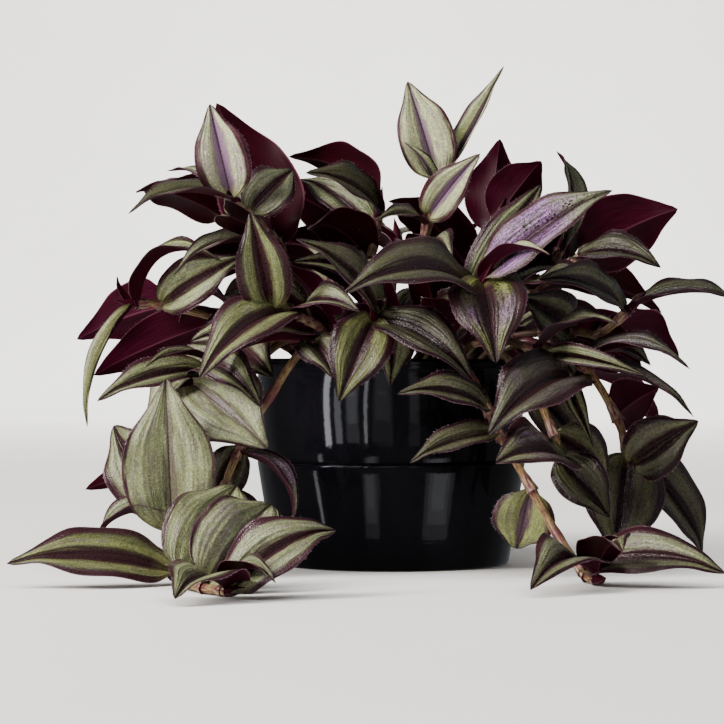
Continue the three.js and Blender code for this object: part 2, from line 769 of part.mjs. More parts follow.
// The ways that a blade may be bent clear: turned aside and lifted in steps, then made smaller
const BEND_STEP = 9;
const MOST_STEPS = 4;
const SIZES = [1, 0.86, 0.72];

function bends() {
  const ways = [];
  for (const size of SIZES) {
    for (let ring = 0; ring <= MOST_STEPS; ring += 1) {
      for (let turn = -ring; turn <= ring; turn += 1) {
        for (let lift = -ring; lift <= ring; lift += 1) {
          if (Math.max(Math.abs(turn), Math.abs(lift)) === ring) {
            ways.push({ size, turn: radians(turn * BEND_STEP), lift: radians(lift * BEND_STEP) });
          }
        }
      }
    }
  }
  return ways;
}

function bent(base, leaf, way) {
  const straight = frameOf(base, new THREE.Vector3(...leaf.tip), leaf.faces);
  const along = straight.along.clone().multiplyScalar(Math.cos(way.turn) * Math.cos(way.lift));
  along.addScaledVector(straight.across, Math.sin(way.turn) * Math.cos(way.lift));
  along.addScaledVector(straight.out, Math.sin(way.lift));
  const tip = base.clone().addScaledVector(along, straight.length * way.size);
  return frameOf(base, tip, leaf.faces);
}

// Puts a blade where it is clear, bent as little as that takes, or leaves it out
function place(stem, leaf, ways) {
  const base = nodePlace(stem, leaf);
  for (const way of ways) {
    const frame = bent(base, leaf, way);
    const sized = { ...leaf, width: leaf.width * way.size };
    const points = spreadOver(frame, sized);
    const clear = points.every(
      ({ point, share }) => clearOfPot(point) && clearOfPlant(point, share, stem.name, base),
    );
    if (clear) {
      points.forEach(({ point, share }) => take(point, stem.name, leaf, share));
      stem.placed.push({ frame, leaf: sized });
      return;
    }
  }
}

// Every stem takes its places first, then the blades are put in, the most prominent ones first
const STEM_POINT_STEP = 2;
const backDraw = draws(BACK_SEED);
const backStems = [];
for (let index = 0; index < BACK_STEMS; index += 1) {
  backStems.push(backStem(index, backDraw));
}
const stems = [...frontStems, ...backStems];
for (const stem of stems) {
  stem.curve = courseOf(stem);
  stem.placed = [];
  const length = stem.curve.getLength();
  for (const point of stem.curve.getSpacedPoints(Math.ceil(length / STEM_POINT_STEP))) {
    take(point, stem.name, null, 0);
  }
}
const innerDraw = draws(INNER_SEED);
for (const stem of frontStems) {
  stem.blades.push(innerBlade(stem, innerDraw));
}
const ways = bends();
for (const group of [frontStems, backStems]) {
  const most = Math.max(...group.map((stem) => stem.blades.length));
  for (let rank = 0; rank < most; rank += 1) {
    for (const stem of group.filter(({ blades }) => blades.length > rank)) {
      place(stem, stem.blades[rank], ways);
    }
  }
}

function leafyStemGeometry(stem) {
  const steps = Math.round(stem.curve.getLength() / STEM_STEP);
  let solid = solidOf(tubeAlong(stem.curve, STEM_RADIUS, steps));
  for (const { frame, leaf } of stem.placed) {
    solid = solid.add(solidOf(bladeGeometry(frame, leaf)));
  }
  // the largest piece is the stem with its blades, with no scraps and no sealed hollow
  const pieces = solid.decompose();
  return geometryOf(pieces.reduce((kept, piece) => (piece.volume() > kept.volume() ? piece : kept)));
}

// Materials
const blackGlaze = new THREE.MeshStandardMaterial({ color: 0x0b0a0c, roughness: 0.12, metalness: 0 });
const pottingMix = new THREE.MeshStandardMaterial({ color: 0x2c2019, roughness: 0.95, metalness: 0 });
const foliage = new THREE.MeshStandardMaterial({ color: 0x6d6b55, roughness: 0.45, metalness: 0 });

function named(name, geometry, material) {
  const mesh = new THREE.Mesh(geometry, material);
  mesh.name = name;
  return mesh;
}

const group = new THREE.Group();
group.add(named("saucer_bowl", bowlGeometry(), blackGlaze));
group.add(named("inner_pot", potGeometry(), blackGlaze));
group.add(named("potting_mix", soilGeometry(stems), pottingMix));
for (const stem of stems) {
  group.add(named(stem.name, leafyStemGeometry(stem), foliage));
}

export default group;
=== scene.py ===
import math
import bpy
import bmesh
import numpy as np
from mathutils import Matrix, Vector
from mathutils.kdtree import KDTree


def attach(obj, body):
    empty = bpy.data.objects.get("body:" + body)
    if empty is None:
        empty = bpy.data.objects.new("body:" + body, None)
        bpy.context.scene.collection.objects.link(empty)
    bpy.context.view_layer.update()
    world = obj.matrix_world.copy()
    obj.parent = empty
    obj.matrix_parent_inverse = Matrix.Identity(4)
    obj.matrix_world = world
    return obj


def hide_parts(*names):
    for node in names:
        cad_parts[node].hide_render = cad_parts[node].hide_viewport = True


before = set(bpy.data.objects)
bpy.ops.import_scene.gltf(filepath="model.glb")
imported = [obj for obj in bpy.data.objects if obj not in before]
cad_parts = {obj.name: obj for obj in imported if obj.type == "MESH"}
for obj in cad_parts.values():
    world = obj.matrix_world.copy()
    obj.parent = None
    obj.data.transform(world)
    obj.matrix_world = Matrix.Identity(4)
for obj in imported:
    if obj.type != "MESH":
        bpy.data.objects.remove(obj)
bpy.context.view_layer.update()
MM = 0.001


# Saucer bowl. The real one is a deep round stoneware bowl with straight flaring walls and a rounded lip.
# It is dipped in black gloss glaze all over but for its foot, which is wiped clean so that it doesn't
# stick in the kiln. The pot stands loose in it.
BOWL_HEIGHT = 49.5
BOWL_FOOT_RADIUS = 56.5
BOWL_RIM_RADIUS = 64.1
BOWL_WALL = 2.5
BOWL_FLOOR = 4.0
BOWL_ROUNDING = 1.5
FOOT_RING_WIDTH = 5.0
FOOT_RECESS = 0.6
BARE_BELOW = 0.5
LIP_STEPS = 10
TURNED_SIDES = 160
SHARP_EDGE = 50


def linear(code):
    """An sRGB hex colour as linear red, green, blue and alpha."""
    parts = [int(code[i : i + 2], 16) / 255 for i in (1, 3, 5)]
    return [p / 12.92 if p <= 0.04045 else ((p + 0.055) / 1.055) ** 2.4 for p in parts] + [1.0]


def inlet(node, key):
    """A node's input by its place among all of them, or by its name among the enabled ones."""
    if isinstance(key, int):
        return node.inputs[key]
    return next(way for way in node.inputs if way.enabled and way.name == key)


def add(tree, kind, settings=None, links=None):
    """Adds a node. Settings are properties, inputs' values or a ramp's stops, and links are inputs' sources.

    A hex string is a colour. A node given as a source stands for its first enabled output.
    """
    node = tree.nodes.new("ShaderNode" + kind)
    for key, value in (settings or {}).items():
        if key == "stops":
            while len(node.color_ramp.elements) < len(value):
                node.color_ramp.elements.new(0.5)
            for element, (place, tone) in zip(node.color_ramp.elements, value):
                element.position = place
                element.color = linear(tone) if isinstance(tone, str) else (tone, tone, tone, 1)
        elif isinstance(key, str) and hasattr(node, key):
            setattr(node, key, value)
        else:
            inlet(node, key).default_value = linear(value) if isinstance(value, str) else value
    for key, source in (links or {}).items():
        if isinstance(source, bpy.types.Node):
            source = next(outlet for outlet in source.outputs if outlet.enabled)
        tree.links.new(source, inlet(node, key))
    return node


def new_material(name):
    made = bpy.data.materials.new(name)
    made.use_nodes = True
    made.node_tree.nodes.clear()
    return made, made.node_tree


def speckled(name, density, detail, tones, settings, relief=0.0):
    """A grainy material. Its tone wavers, with so many grains to a millimetre, and its relief raises them."""
    made, tree = new_material(name)
    place = add(tree, "NewGeometry")
    grains = add(tree, "TexNoise", {"Scale": density / MM, "Detail": detail}, {"Vector": place})
    tone = add(tree, "ValToRGB", {"stops": tones}, {"Fac": grains})
    links = {"Base Color": tone}
    if relief:
        links["Normal"] = add(tree, "Bump", {"Strength": relief, "Distance": 0.3 * MM}, {"Height": grains})
    shader = add(tree, "BsdfPrincipled", settings, links)
    add(tree, "OutputMaterial", {}, {"Surface": shader})
    return made


def new_piece(name, verts, faces, materials=()):
    """A mesh object with these points in metres, faces and materials."""
    mesh = bpy.data.meshes.new(name)
    mesh.from_pydata(verts, [], faces)
    for material in materials:
        mesh.materials.append(material)
    mesh.update()
    piece = bpy.data.objects.new(name, mesh)
    bpy.context.collection.objects.link(piece)
    return piece


def around(sides, reach, height):
    """Points in a level ring about the pot's axis."""
    angles = [2 * math.pi * side / sides for side in range(sides)]
    return [(reach * math.cos(angle), reach * math.sin(angle), height) for angle in angles]


def half_round(outer, wall, top, steps):
    """Points over a rounded lip, from the outer side of a wall to its inner side."""
    radius = wall / 2
    angles = [math.pi * i / steps for i in range(steps + 1)]
    return [(outer - radius + radius * math.cos(a), top - radius + radius * math.sin(a)) for a in angles]


def turned_piece(name, profile, materials):
    """A solid turned about the pot's axis. Its (radius, height) points in mm start and end on the axis."""
    verts = [(0, 0, profile[0][1])]
    rings = []
    for radius, height in profile[1:-1]:
        rings.append(len(verts))
        verts += around(TURNED_SIDES, radius, height)
    end = len(verts)
    verts.append((0, 0, profile[-1][1]))
    faces = []
    for side in range(TURNED_SIDES):
        after = (side + 1) % TURNED_SIDES
        faces.append((0, rings[0] + after, rings[0] + side))
        for low, high in zip(rings, rings[1:]):
            faces.append((low + side, low + after, high + after, high + side))
        faces.append((rings[-1] + side, rings[-1] + after, end))
    piece = new_piece(name, [(x * MM, y * MM, z * MM) for x, y, z in verts], faces, materials)
    piece.data.polygons.foreach_set("use_smooth", [True] * len(faces))
    piece.data.set_sharp_from_angle(angle=math.radians(SHARP_EDGE))
    return piece


# Black gloss glaze on stoneware, dipped and fired: near-black glass about half a millimetre thick. It runs
# a little as it melts, so reflections waver over some 20 mm. The throwing rings of the clay under it, 6 mm
# apart, ripple them too. On sharp lips it turns a warm grey, partly as the glaze thins there and partly as a
# painted highlight of the lip catching the light. Its orange peel is drawn at 1.4 mm. The scale of a pattern
# is worked out from how many of its grains lie in a millimetre.
black_glaze, tree = new_material("black_gloss_glaze_on_stoneware")
place = add(tree, "NewGeometry")
stretch = add(tree, "VectorMath", {"operation": "MULTIPLY", 1: (1, 1, 0.35)}, {0: place})
runs = add(tree, "TexNoise", {"Scale": 0.05 / MM, "Detail": 1.0}, {"Vector": stretch})
orange_peel = add(tree, "TexNoise", {"Scale": 0.7 / MM, "Detail": 2.0}, {"Vector": place})
level = add(tree, "VectorMath", {"operation": "MULTIPLY", 1: (0.5, 0.5, 2.2)}, {0: place})
throwing = add(tree, "TexNoise", {"Scale": 0.08 / MM, "Detail": 2.0}, {"Vector": level})
swell = add(tree, "Bump", {"Strength": 0.5, "Distance": 1.6 * MM}, {"Height": runs})
rings = add(tree, "Bump", {"Strength": 0.35, "Distance": 0.5 * MM}, {"Height": throwing, "Normal": swell})
skin = add(tree, "Bump", {"Strength": 0.05, "Distance": 0.3 * MM}, {"Height": orange_peel, "Normal": rings})
sharpness = place.outputs["Pointiness"]
# Painted highlight, partly real: sharp lips turn a warm grey, for the glaze thinning there and for the lip
# catching the light.
lip_thin_and_lit = add(tree, "MapRange", {"From Min": 0.58, "From Max": 0.68, "To Max": 0.8}, {"Value": sharpness})
body_tone = add(tree, "ValToRGB", {"stops": [(0.3, "#050406"), (0.7, "#0a090b")]}, {"Fac": runs})
thin_and_lit_tone = add(tree, "Mix", {"data_type": "RGBA", "B": "#5a554c"}, {"Factor": lip_thin_and_lit, "A": body_tone})
gloss = add(tree, "MapRange", {"To Min": 0.06, "To Max": 0.12}, {"Value": orange_peel})
shader = add(
    tree,
    "BsdfPrincipled",
    {"IOR": 1.5, "Specular IOR Level": 0.11},
    {"Base Color": thin_and_lit_tone, "Roughness": gloss, "Normal": skin},
)
add(tree, "OutputMaterial", {}, {"Surface": shader})

# Unglazed stoneware of the wiped foot: fired clay, grey-buff, dry, with a grit of about 1 mm.
clay_tones = [(0.3, "#7d7264"), (0.7, "#a3988a")]
bare_clay = speckled("unglazed_stoneware_foot", 0.9, 4.0, clay_tones, {"Roughness": 0.85}, 0.4)

ring_inside = BOWL_FOOT_RADIUS - FOOT_RING_WIDTH - 2
bowl_inside = BOWL_FOOT_RADIUS - BOWL_WALL
bowl_flare = BOWL_RIM_RADIUS - BOWL_FOOT_RADIUS
bowl_side = BOWL_HEIGHT - BOWL_WALL / 2 - BOWL_ROUNDING
bowl_profile = [
    (0, FOOT_RECESS),
    (ring_inside, FOOT_RECESS),
    (ring_inside + 0.4, 0),
    (BOWL_FOOT_RADIUS - BOWL_ROUNDING, 0),
    (BOWL_FOOT_RADIUS - 0.4 * BOWL_ROUNDING, 0.2 * BOWL_ROUNDING),
    (BOWL_FOOT_RADIUS, BOWL_ROUNDING),
]
for share in (0.25, 0.5, 0.75):
    bowl_profile.append((BOWL_FOOT_RADIUS + bowl_flare * share, BOWL_ROUNDING + bowl_side * share))
bowl_profile += half_round(BOWL_RIM_RADIUS, BOWL_WALL, BOWL_HEIGHT, LIP_STEPS)
bowl_profile += [
    (bowl_inside + BOWL_ROUNDING, BOWL_FLOOR + 4 * BOWL_ROUNDING),
    (bowl_inside, BOWL_FLOOR + BOWL_ROUNDING),
    (bowl_inside - BOWL_ROUNDING, BOWL_FLOOR),
    (0, BOWL_FLOOR),
]
bowl = turned_piece("glazed_saucer_bowl", bowl_profile, [black_glaze, bare_clay])
for face in bowl.data.polygons:
    face.material_index = 1 if face.center.z < BARE_BELOW * MM else 0
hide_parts("saucer_bowl")
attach(bowl, "root")


# Pot. A round stoneware planter that flares from its foot to the bowl's lip, swells a little above it and
# ends in a slightly thicker rim. It has four drain holes in its floor, and the same black glaze inside
# and out.
POT_HEIGHT = 98.0
POT_FOOT_RADIUS = 50.0
POT_WAIST_RADIUS = 61.1
POT_WAIST_HEIGHT = 50.5
POT_BELLY = [(62.2, 60.0), (63.1, 71.0), (63.6, 82.0)]
POT_BAND_RADIUS = 64.0
POT_BAND_HEIGHT = 5.0
POT_RIM_RADIUS = 65.0
POT_WALL = 3.0
POT_FLOOR = 5.0
POT_ROUNDING = 2.0
SEAT = 0.3
DRAIN_HOLES = 4
DRAIN_RADIUS = 4.0
DRAIN_RING = 26.0
DRILL_DEPTH = 15.0
DRILL_SIDES = 24

foot = BOWL_FLOOR + SEAT
band = POT_HEIGHT - POT_BAND_HEIGHT
pot_profile = [
    (0, foot),
    (POT_FOOT_RADIUS - POT_ROUNDING, foot),
    (POT_FOOT_RADIUS - 0.3 * POT_ROUNDING, foot + 0.3 * POT_ROUNDING),
    (POT_FOOT_RADIUS, foot + POT_ROUNDING),
    (POT_WAIST_RADIUS, POT_WAIST_HEIGHT),
    *POT_BELLY,
    (POT_BAND_RADIUS, band - 0.6),
    (POT_BAND_RADIUS + 0.5, band),
    (POT_RIM_RADIUS - 0.1, band + 1.2),
    *half_round(POT_RIM_RADIUS, POT_WALL, POT_HEIGHT, LIP_STEPS),
    (POT_BAND_RADIUS - POT_WALL, band),
    (POT_WAIST_RADIUS - POT_WALL, POT_WAIST_HEIGHT),
    (POT_FOOT_RADIUS - POT_WALL, foot + POT_FLOOR),
    (0, foot + POT_FLOOR),
]
pot = turned_piece("glazed_pot", pot_profile, [black_glaze])
drill = new_piece("drain_drill", [], [])
cutter = bmesh.new()
for hole in range(DRAIN_HOLES):
    rod = bmesh.ops.create_cone(
        cutter,
        cap_ends=True,
        segments=DRILL_SIDES,
        radius1=DRAIN_RADIUS * MM,
        radius2=DRAIN_RADIUS * MM,
        depth=DRILL_DEPTH * MM,
    )
    bearing = 2 * math.pi * hole / DRAIN_HOLES
    spot = (math.cos(bearing) * DRAIN_RING * MM, math.sin(bearing) * DRAIN_RING * MM, foot * MM)
    bmesh.ops.translate(cutter, verts=rod["verts"], vec=spot)
cutter.to_mesh(drill.data)
cutter.free()
holes = pot.modifiers.new("drain_holes", "BOOLEAN")
holes.operation = "DIFFERENCE"
holes.object = drill
bpy.context.view_layer.objects.active = pot
bpy.ops.object.modifier_apply(modifier="drain_holes")
bpy.data.objects.remove(drill)
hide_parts("inner_pot")
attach(pot, "root")


# Potting mix. Dark peat and composted bark fill the pot to a low crown about 10 mm under the rim, pressed
# down by watering, with crumbs, bark chips and white grains of perlite loose on top.
SOIL_TOP = 87.0
SOIL_CROWN = 2.0
SOIL_BOTTOM = foot + POT_FLOOR + SEAT
SOIL_RADIUS = POT_BAND_RADIUS - POT_WALL - 1.4
SOIL_CLEARANCE = 0.6
SOIL_SIDES = 120
SOIL_RINGS = 34
CRUMB_LOW = -1.3
CRUMB_HIGH = 0.4
LUMP_HEIGHT = 0.7
MIDDLE_DIP = 0.8

# Its peat is in crumbs of 2.4 mm, in patches some 17 mm wide that are lighter or darker with damp.
potting_mix, tree = new_material("peat_and_bark_potting_mix")
place = add(tree, "NewGeometry")
crumbs = add(tree, "TexVoronoi", {"Scale": 0.42 / MM}, {"Vector": place})
damp = add(tree, "TexNoise", {"Scale": 0.06 / MM, "Detail": 5.0}, {"Vector": place})
peat_stops = [(0.1, "#1c1410"), (0.6, "#332519"), (0.95, "#4a3727")]
peat_tone = add(tree, "ValToRGB", {"stops": peat_stops}, {"Fac": crumbs.outputs["Color"]})
mixing = {"data_type": "RGBA", "blend_type": "MULTIPLY", "Factor": 0.7}
peat = add(tree, "Mix", mixing, {"A": peat_tone, "B": damp})
lumps = add(tree, "Bump", {"Strength": 0.9, "Distance": 1.2 * MM}, {"Height": crumbs.outputs["Distance"]})
shader = add(tree, "BsdfPrincipled", {"Roughness": 0.92}, {"Base Color": peat, "Normal": lumps})
add(tree, "OutputMaterial", {}, {"Surface": shader})

# Bark and perlite on the mix: composted bark is a matt red-brown, and perlite is a puffed white glass, dull
# as chalk.
bark_tones = [(0.3, "#3a2418"), (0.7, "#6b4a33")]
bark_chips = speckled("composted_bark_chips", 0.8, 3.0, bark_tones, {"Roughness": 0.9})
perlite_tones = [(0.3, "#b9b4aa"), (0.6, "#e9e6df")]
perlite_grains = speckled("perlite_grains", 1.5, 2.0, perlite_tones, {"Roughness": 0.9})


def draws(seed):
    """Numbers from 0 to 1, the same ones for the same seed."""
    state = seed
    while True:
        state = (state * 1664525 + 1013904223) & 0xFFFFFFFF
        yield state / 4294967296


def between(draw, low, high):
    return low + (high - low) * next(draw)


def soil_height(share):
    """The height of the crowned mix at a share of the way from its middle to the pot."""
    return SOIL_TOP + SOIL_CROWN * (1 - share * share)


soil_draw = draws(5)
verts = []
faces = []
for ring in range(1, SOIL_RINGS + 1):
    share = ring / SOIL_RINGS
    for x, y, height in around(SOIL_SIDES, SOIL_RADIUS * share, soil_height(share)):
        crumb = between(soil_draw, CRUMB_LOW, CRUMB_HIGH) if ring < SOIL_RINGS else -SOIL_CLEARANCE
        angle = math.atan2(y, x)
        lump = LUMP_HEIGHT * (math.sin(3 * angle + 5 * share) * math.sin(7 * share) - 1)
        verts.append((x, y, height + crumb + lump))
verts.append((0, 0, soil_height(0) - MIDDLE_DIP))
crown = len(verts) - 1
side_rings = [(SOIL_RINGS - 1) * SOIL_SIDES]
pot_side = [(POT_WAIST_RADIUS, POT_WAIST_HEIGHT), (POT_FOOT_RADIUS, SOIL_BOTTOM)]
for radius, height in pot_side:
    side_rings.append(len(verts))
    verts += around(SOIL_SIDES, radius - POT_WALL - SOIL_CLEARANCE, height)
for side in range(SOIL_SIDES):
    after = (side + 1) % SOIL_SIDES
    faces.append((crown, side, after))
    for low in range(0, side_rings[0], SOIL_SIDES):
        high = low + SOIL_SIDES
        faces.append((low + side, high + side, high + after, low + after))
for upper, lower in zip(side_rings, side_rings[1:]):
    for side in range(SOIL_SIDES):
        after = (side + 1) % SOIL_SIDES
        faces.append((upper + side, lower + side, lower + after, upper + after))
faces.append(tuple(reversed(range(side_rings[-1], side_rings[-1] + SOIL_SIDES))))
kinds = [0] * len(faces)

# Each loose grain is a rough block of eight corners, half sunk in the mix. It is so many millimetres in size,
# and half as long, wide and high as such shares of that.
GRAINS = 150
GRAINS_WITHIN = 0.96
GRAIN_SUNK = 1.2
GRAIN_SIZE = (0.8, 2.2)
HALF_LENGTH = (0.4, 0.7)
HALF_WIDTH = (0.3, 0.6)
HALF_HEIGHT = (0.2, 0.45)
PERLITE_SHARE = 0.3
BARK_STRETCH = 1.9
BLOCK_SIDES = ((0, 2, 3, 1), (4, 5, 7, 6), (0, 1, 5, 4), (2, 6, 7, 3), (0, 4, 6, 2), (1, 3, 7, 5))
for grain in range(GRAINS):
    share = GRAINS_WITHIN * math.sqrt(next(soil_draw))
    angle = between(soil_draw, 0, 2 * math.pi)
    size = between(soil_draw, *GRAIN_SIZE)
    white = next(soil_draw) < PERLITE_SHARE
    spin = between(soil_draw, 0, math.pi)
    x = SOIL_RADIUS * share * math.cos(angle)
    y = SOIL_RADIUS * share * math.sin(angle)
    z = soil_height(share) - GRAIN_SUNK
    first = len(verts)
    long_way = size * (1.0 if white else BARK_STRETCH)
    for corner in range(8):
        dx = (1 if corner & 1 else -1) * long_way * between(soil_draw, *HALF_LENGTH)
        dy = (1 if corner & 2 else -1) * size * between(soil_draw, *HALF_WIDTH)
        dz = (1 if corner & 4 else -1) * size * between(soil_draw, *HALF_HEIGHT)
        across = dx * math.cos(spin) - dy * math.sin(spin)
        deep = dx * math.sin(spin) + dy * math.cos(spin)
        verts.append((x + across, y + deep, z + dz))
    for corners in BLOCK_SIDES:
        faces.append(tuple(first + corner for corner in corners))
        kinds.append(2 if white else 1)
verts = [(x * MM, y * MM, z * MM) for x, y, z in verts]
soil = new_piece("potting_mix_with_crumbs", verts, faces, [potting_mix, bark_chips, perlite_grains])
soil.data.polygons.foreach_set("material_index", kinds)
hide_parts("potting_mix")
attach(soil, "root")


# Stems and leaves. Each stem of the tradescantia is one soft juicy shoot: it comes up out of the mix, leans
# over the rim and carries a leaf at each swollen node. Every stem is one piece with its leaves, as it grew.
# The places below are sighted from a point in front of the plant, in millimetres.
EYE_X = -14.0
EYE_DISTANCE = 1300.0
EYE_Z = 102.0
STEM_RADIUS = 2.1
HOLE_DEPTH = 14.0
STRAIGHT_RISE = 9.0
CLASP_STEP = 4.0
WIDEST_AT = 0.4
BASE_ROUNDNESS = 0.6
BLADE_THICKNESS = 0.7
ON_SURFACE = STEM_RADIUS + 0.4

# Past a stem's end its course goes on straight, by so many millimetres to a unit of its share. A leaf that
# was bent clear of its neighbours is a little smaller or turned by so many steps, and its tip matches a
# corner of the model's own solid.
PAST_END = 1000.0
BEND_SIZES = (1, 0.86, 0.72)
BEND_RINGS = 5
BEND_DEGREES = 9
MATCH = 0.03


def seen(across, up, y):
    """The place at depth y that is seen at (across, up) in the plane of the pot's axis."""
    share = (EYE_DISTANCE + y) / EYE_DISTANCE
    return (EYE_X + (across - EYE_X) * share, y, EYE_Z + (up - EYE_Z) * share)


def laid(x, y, rise=0.0):
    """A place on a stem that lies on the surface that the bowl stands on."""
    return (x, y, ON_SURFACE + rise)


# Ways that a leaf's upper side may face.
FRONT = (0, -1, 0.25)
FRONT_LEFT = (-0.6, -1, 0.3)
FRONT_RIGHT = (0.6, -1, 0.3)
FRONT_UP = (0, -1, 1)
UP = (0, -0.3, 1)
LEFT_UP = (-1, -0.25, 0.5)
BACK = (0, 1, 0.3)
BACK_UP = (0, 0.8, 1)


def blade(node, tip, width, faces, bow, fold, coat="striped"):
    """A leaf: its node, tip, width, the way its upper side faces, its bow, its fold, and its colouring."""
    return {
        "node": node,
        "tip": Vector(tip),
        "width": width,
        "faces": Vector(faces),
        "bow": bow,
        "fold": fold,
        "coat": coat,
    }


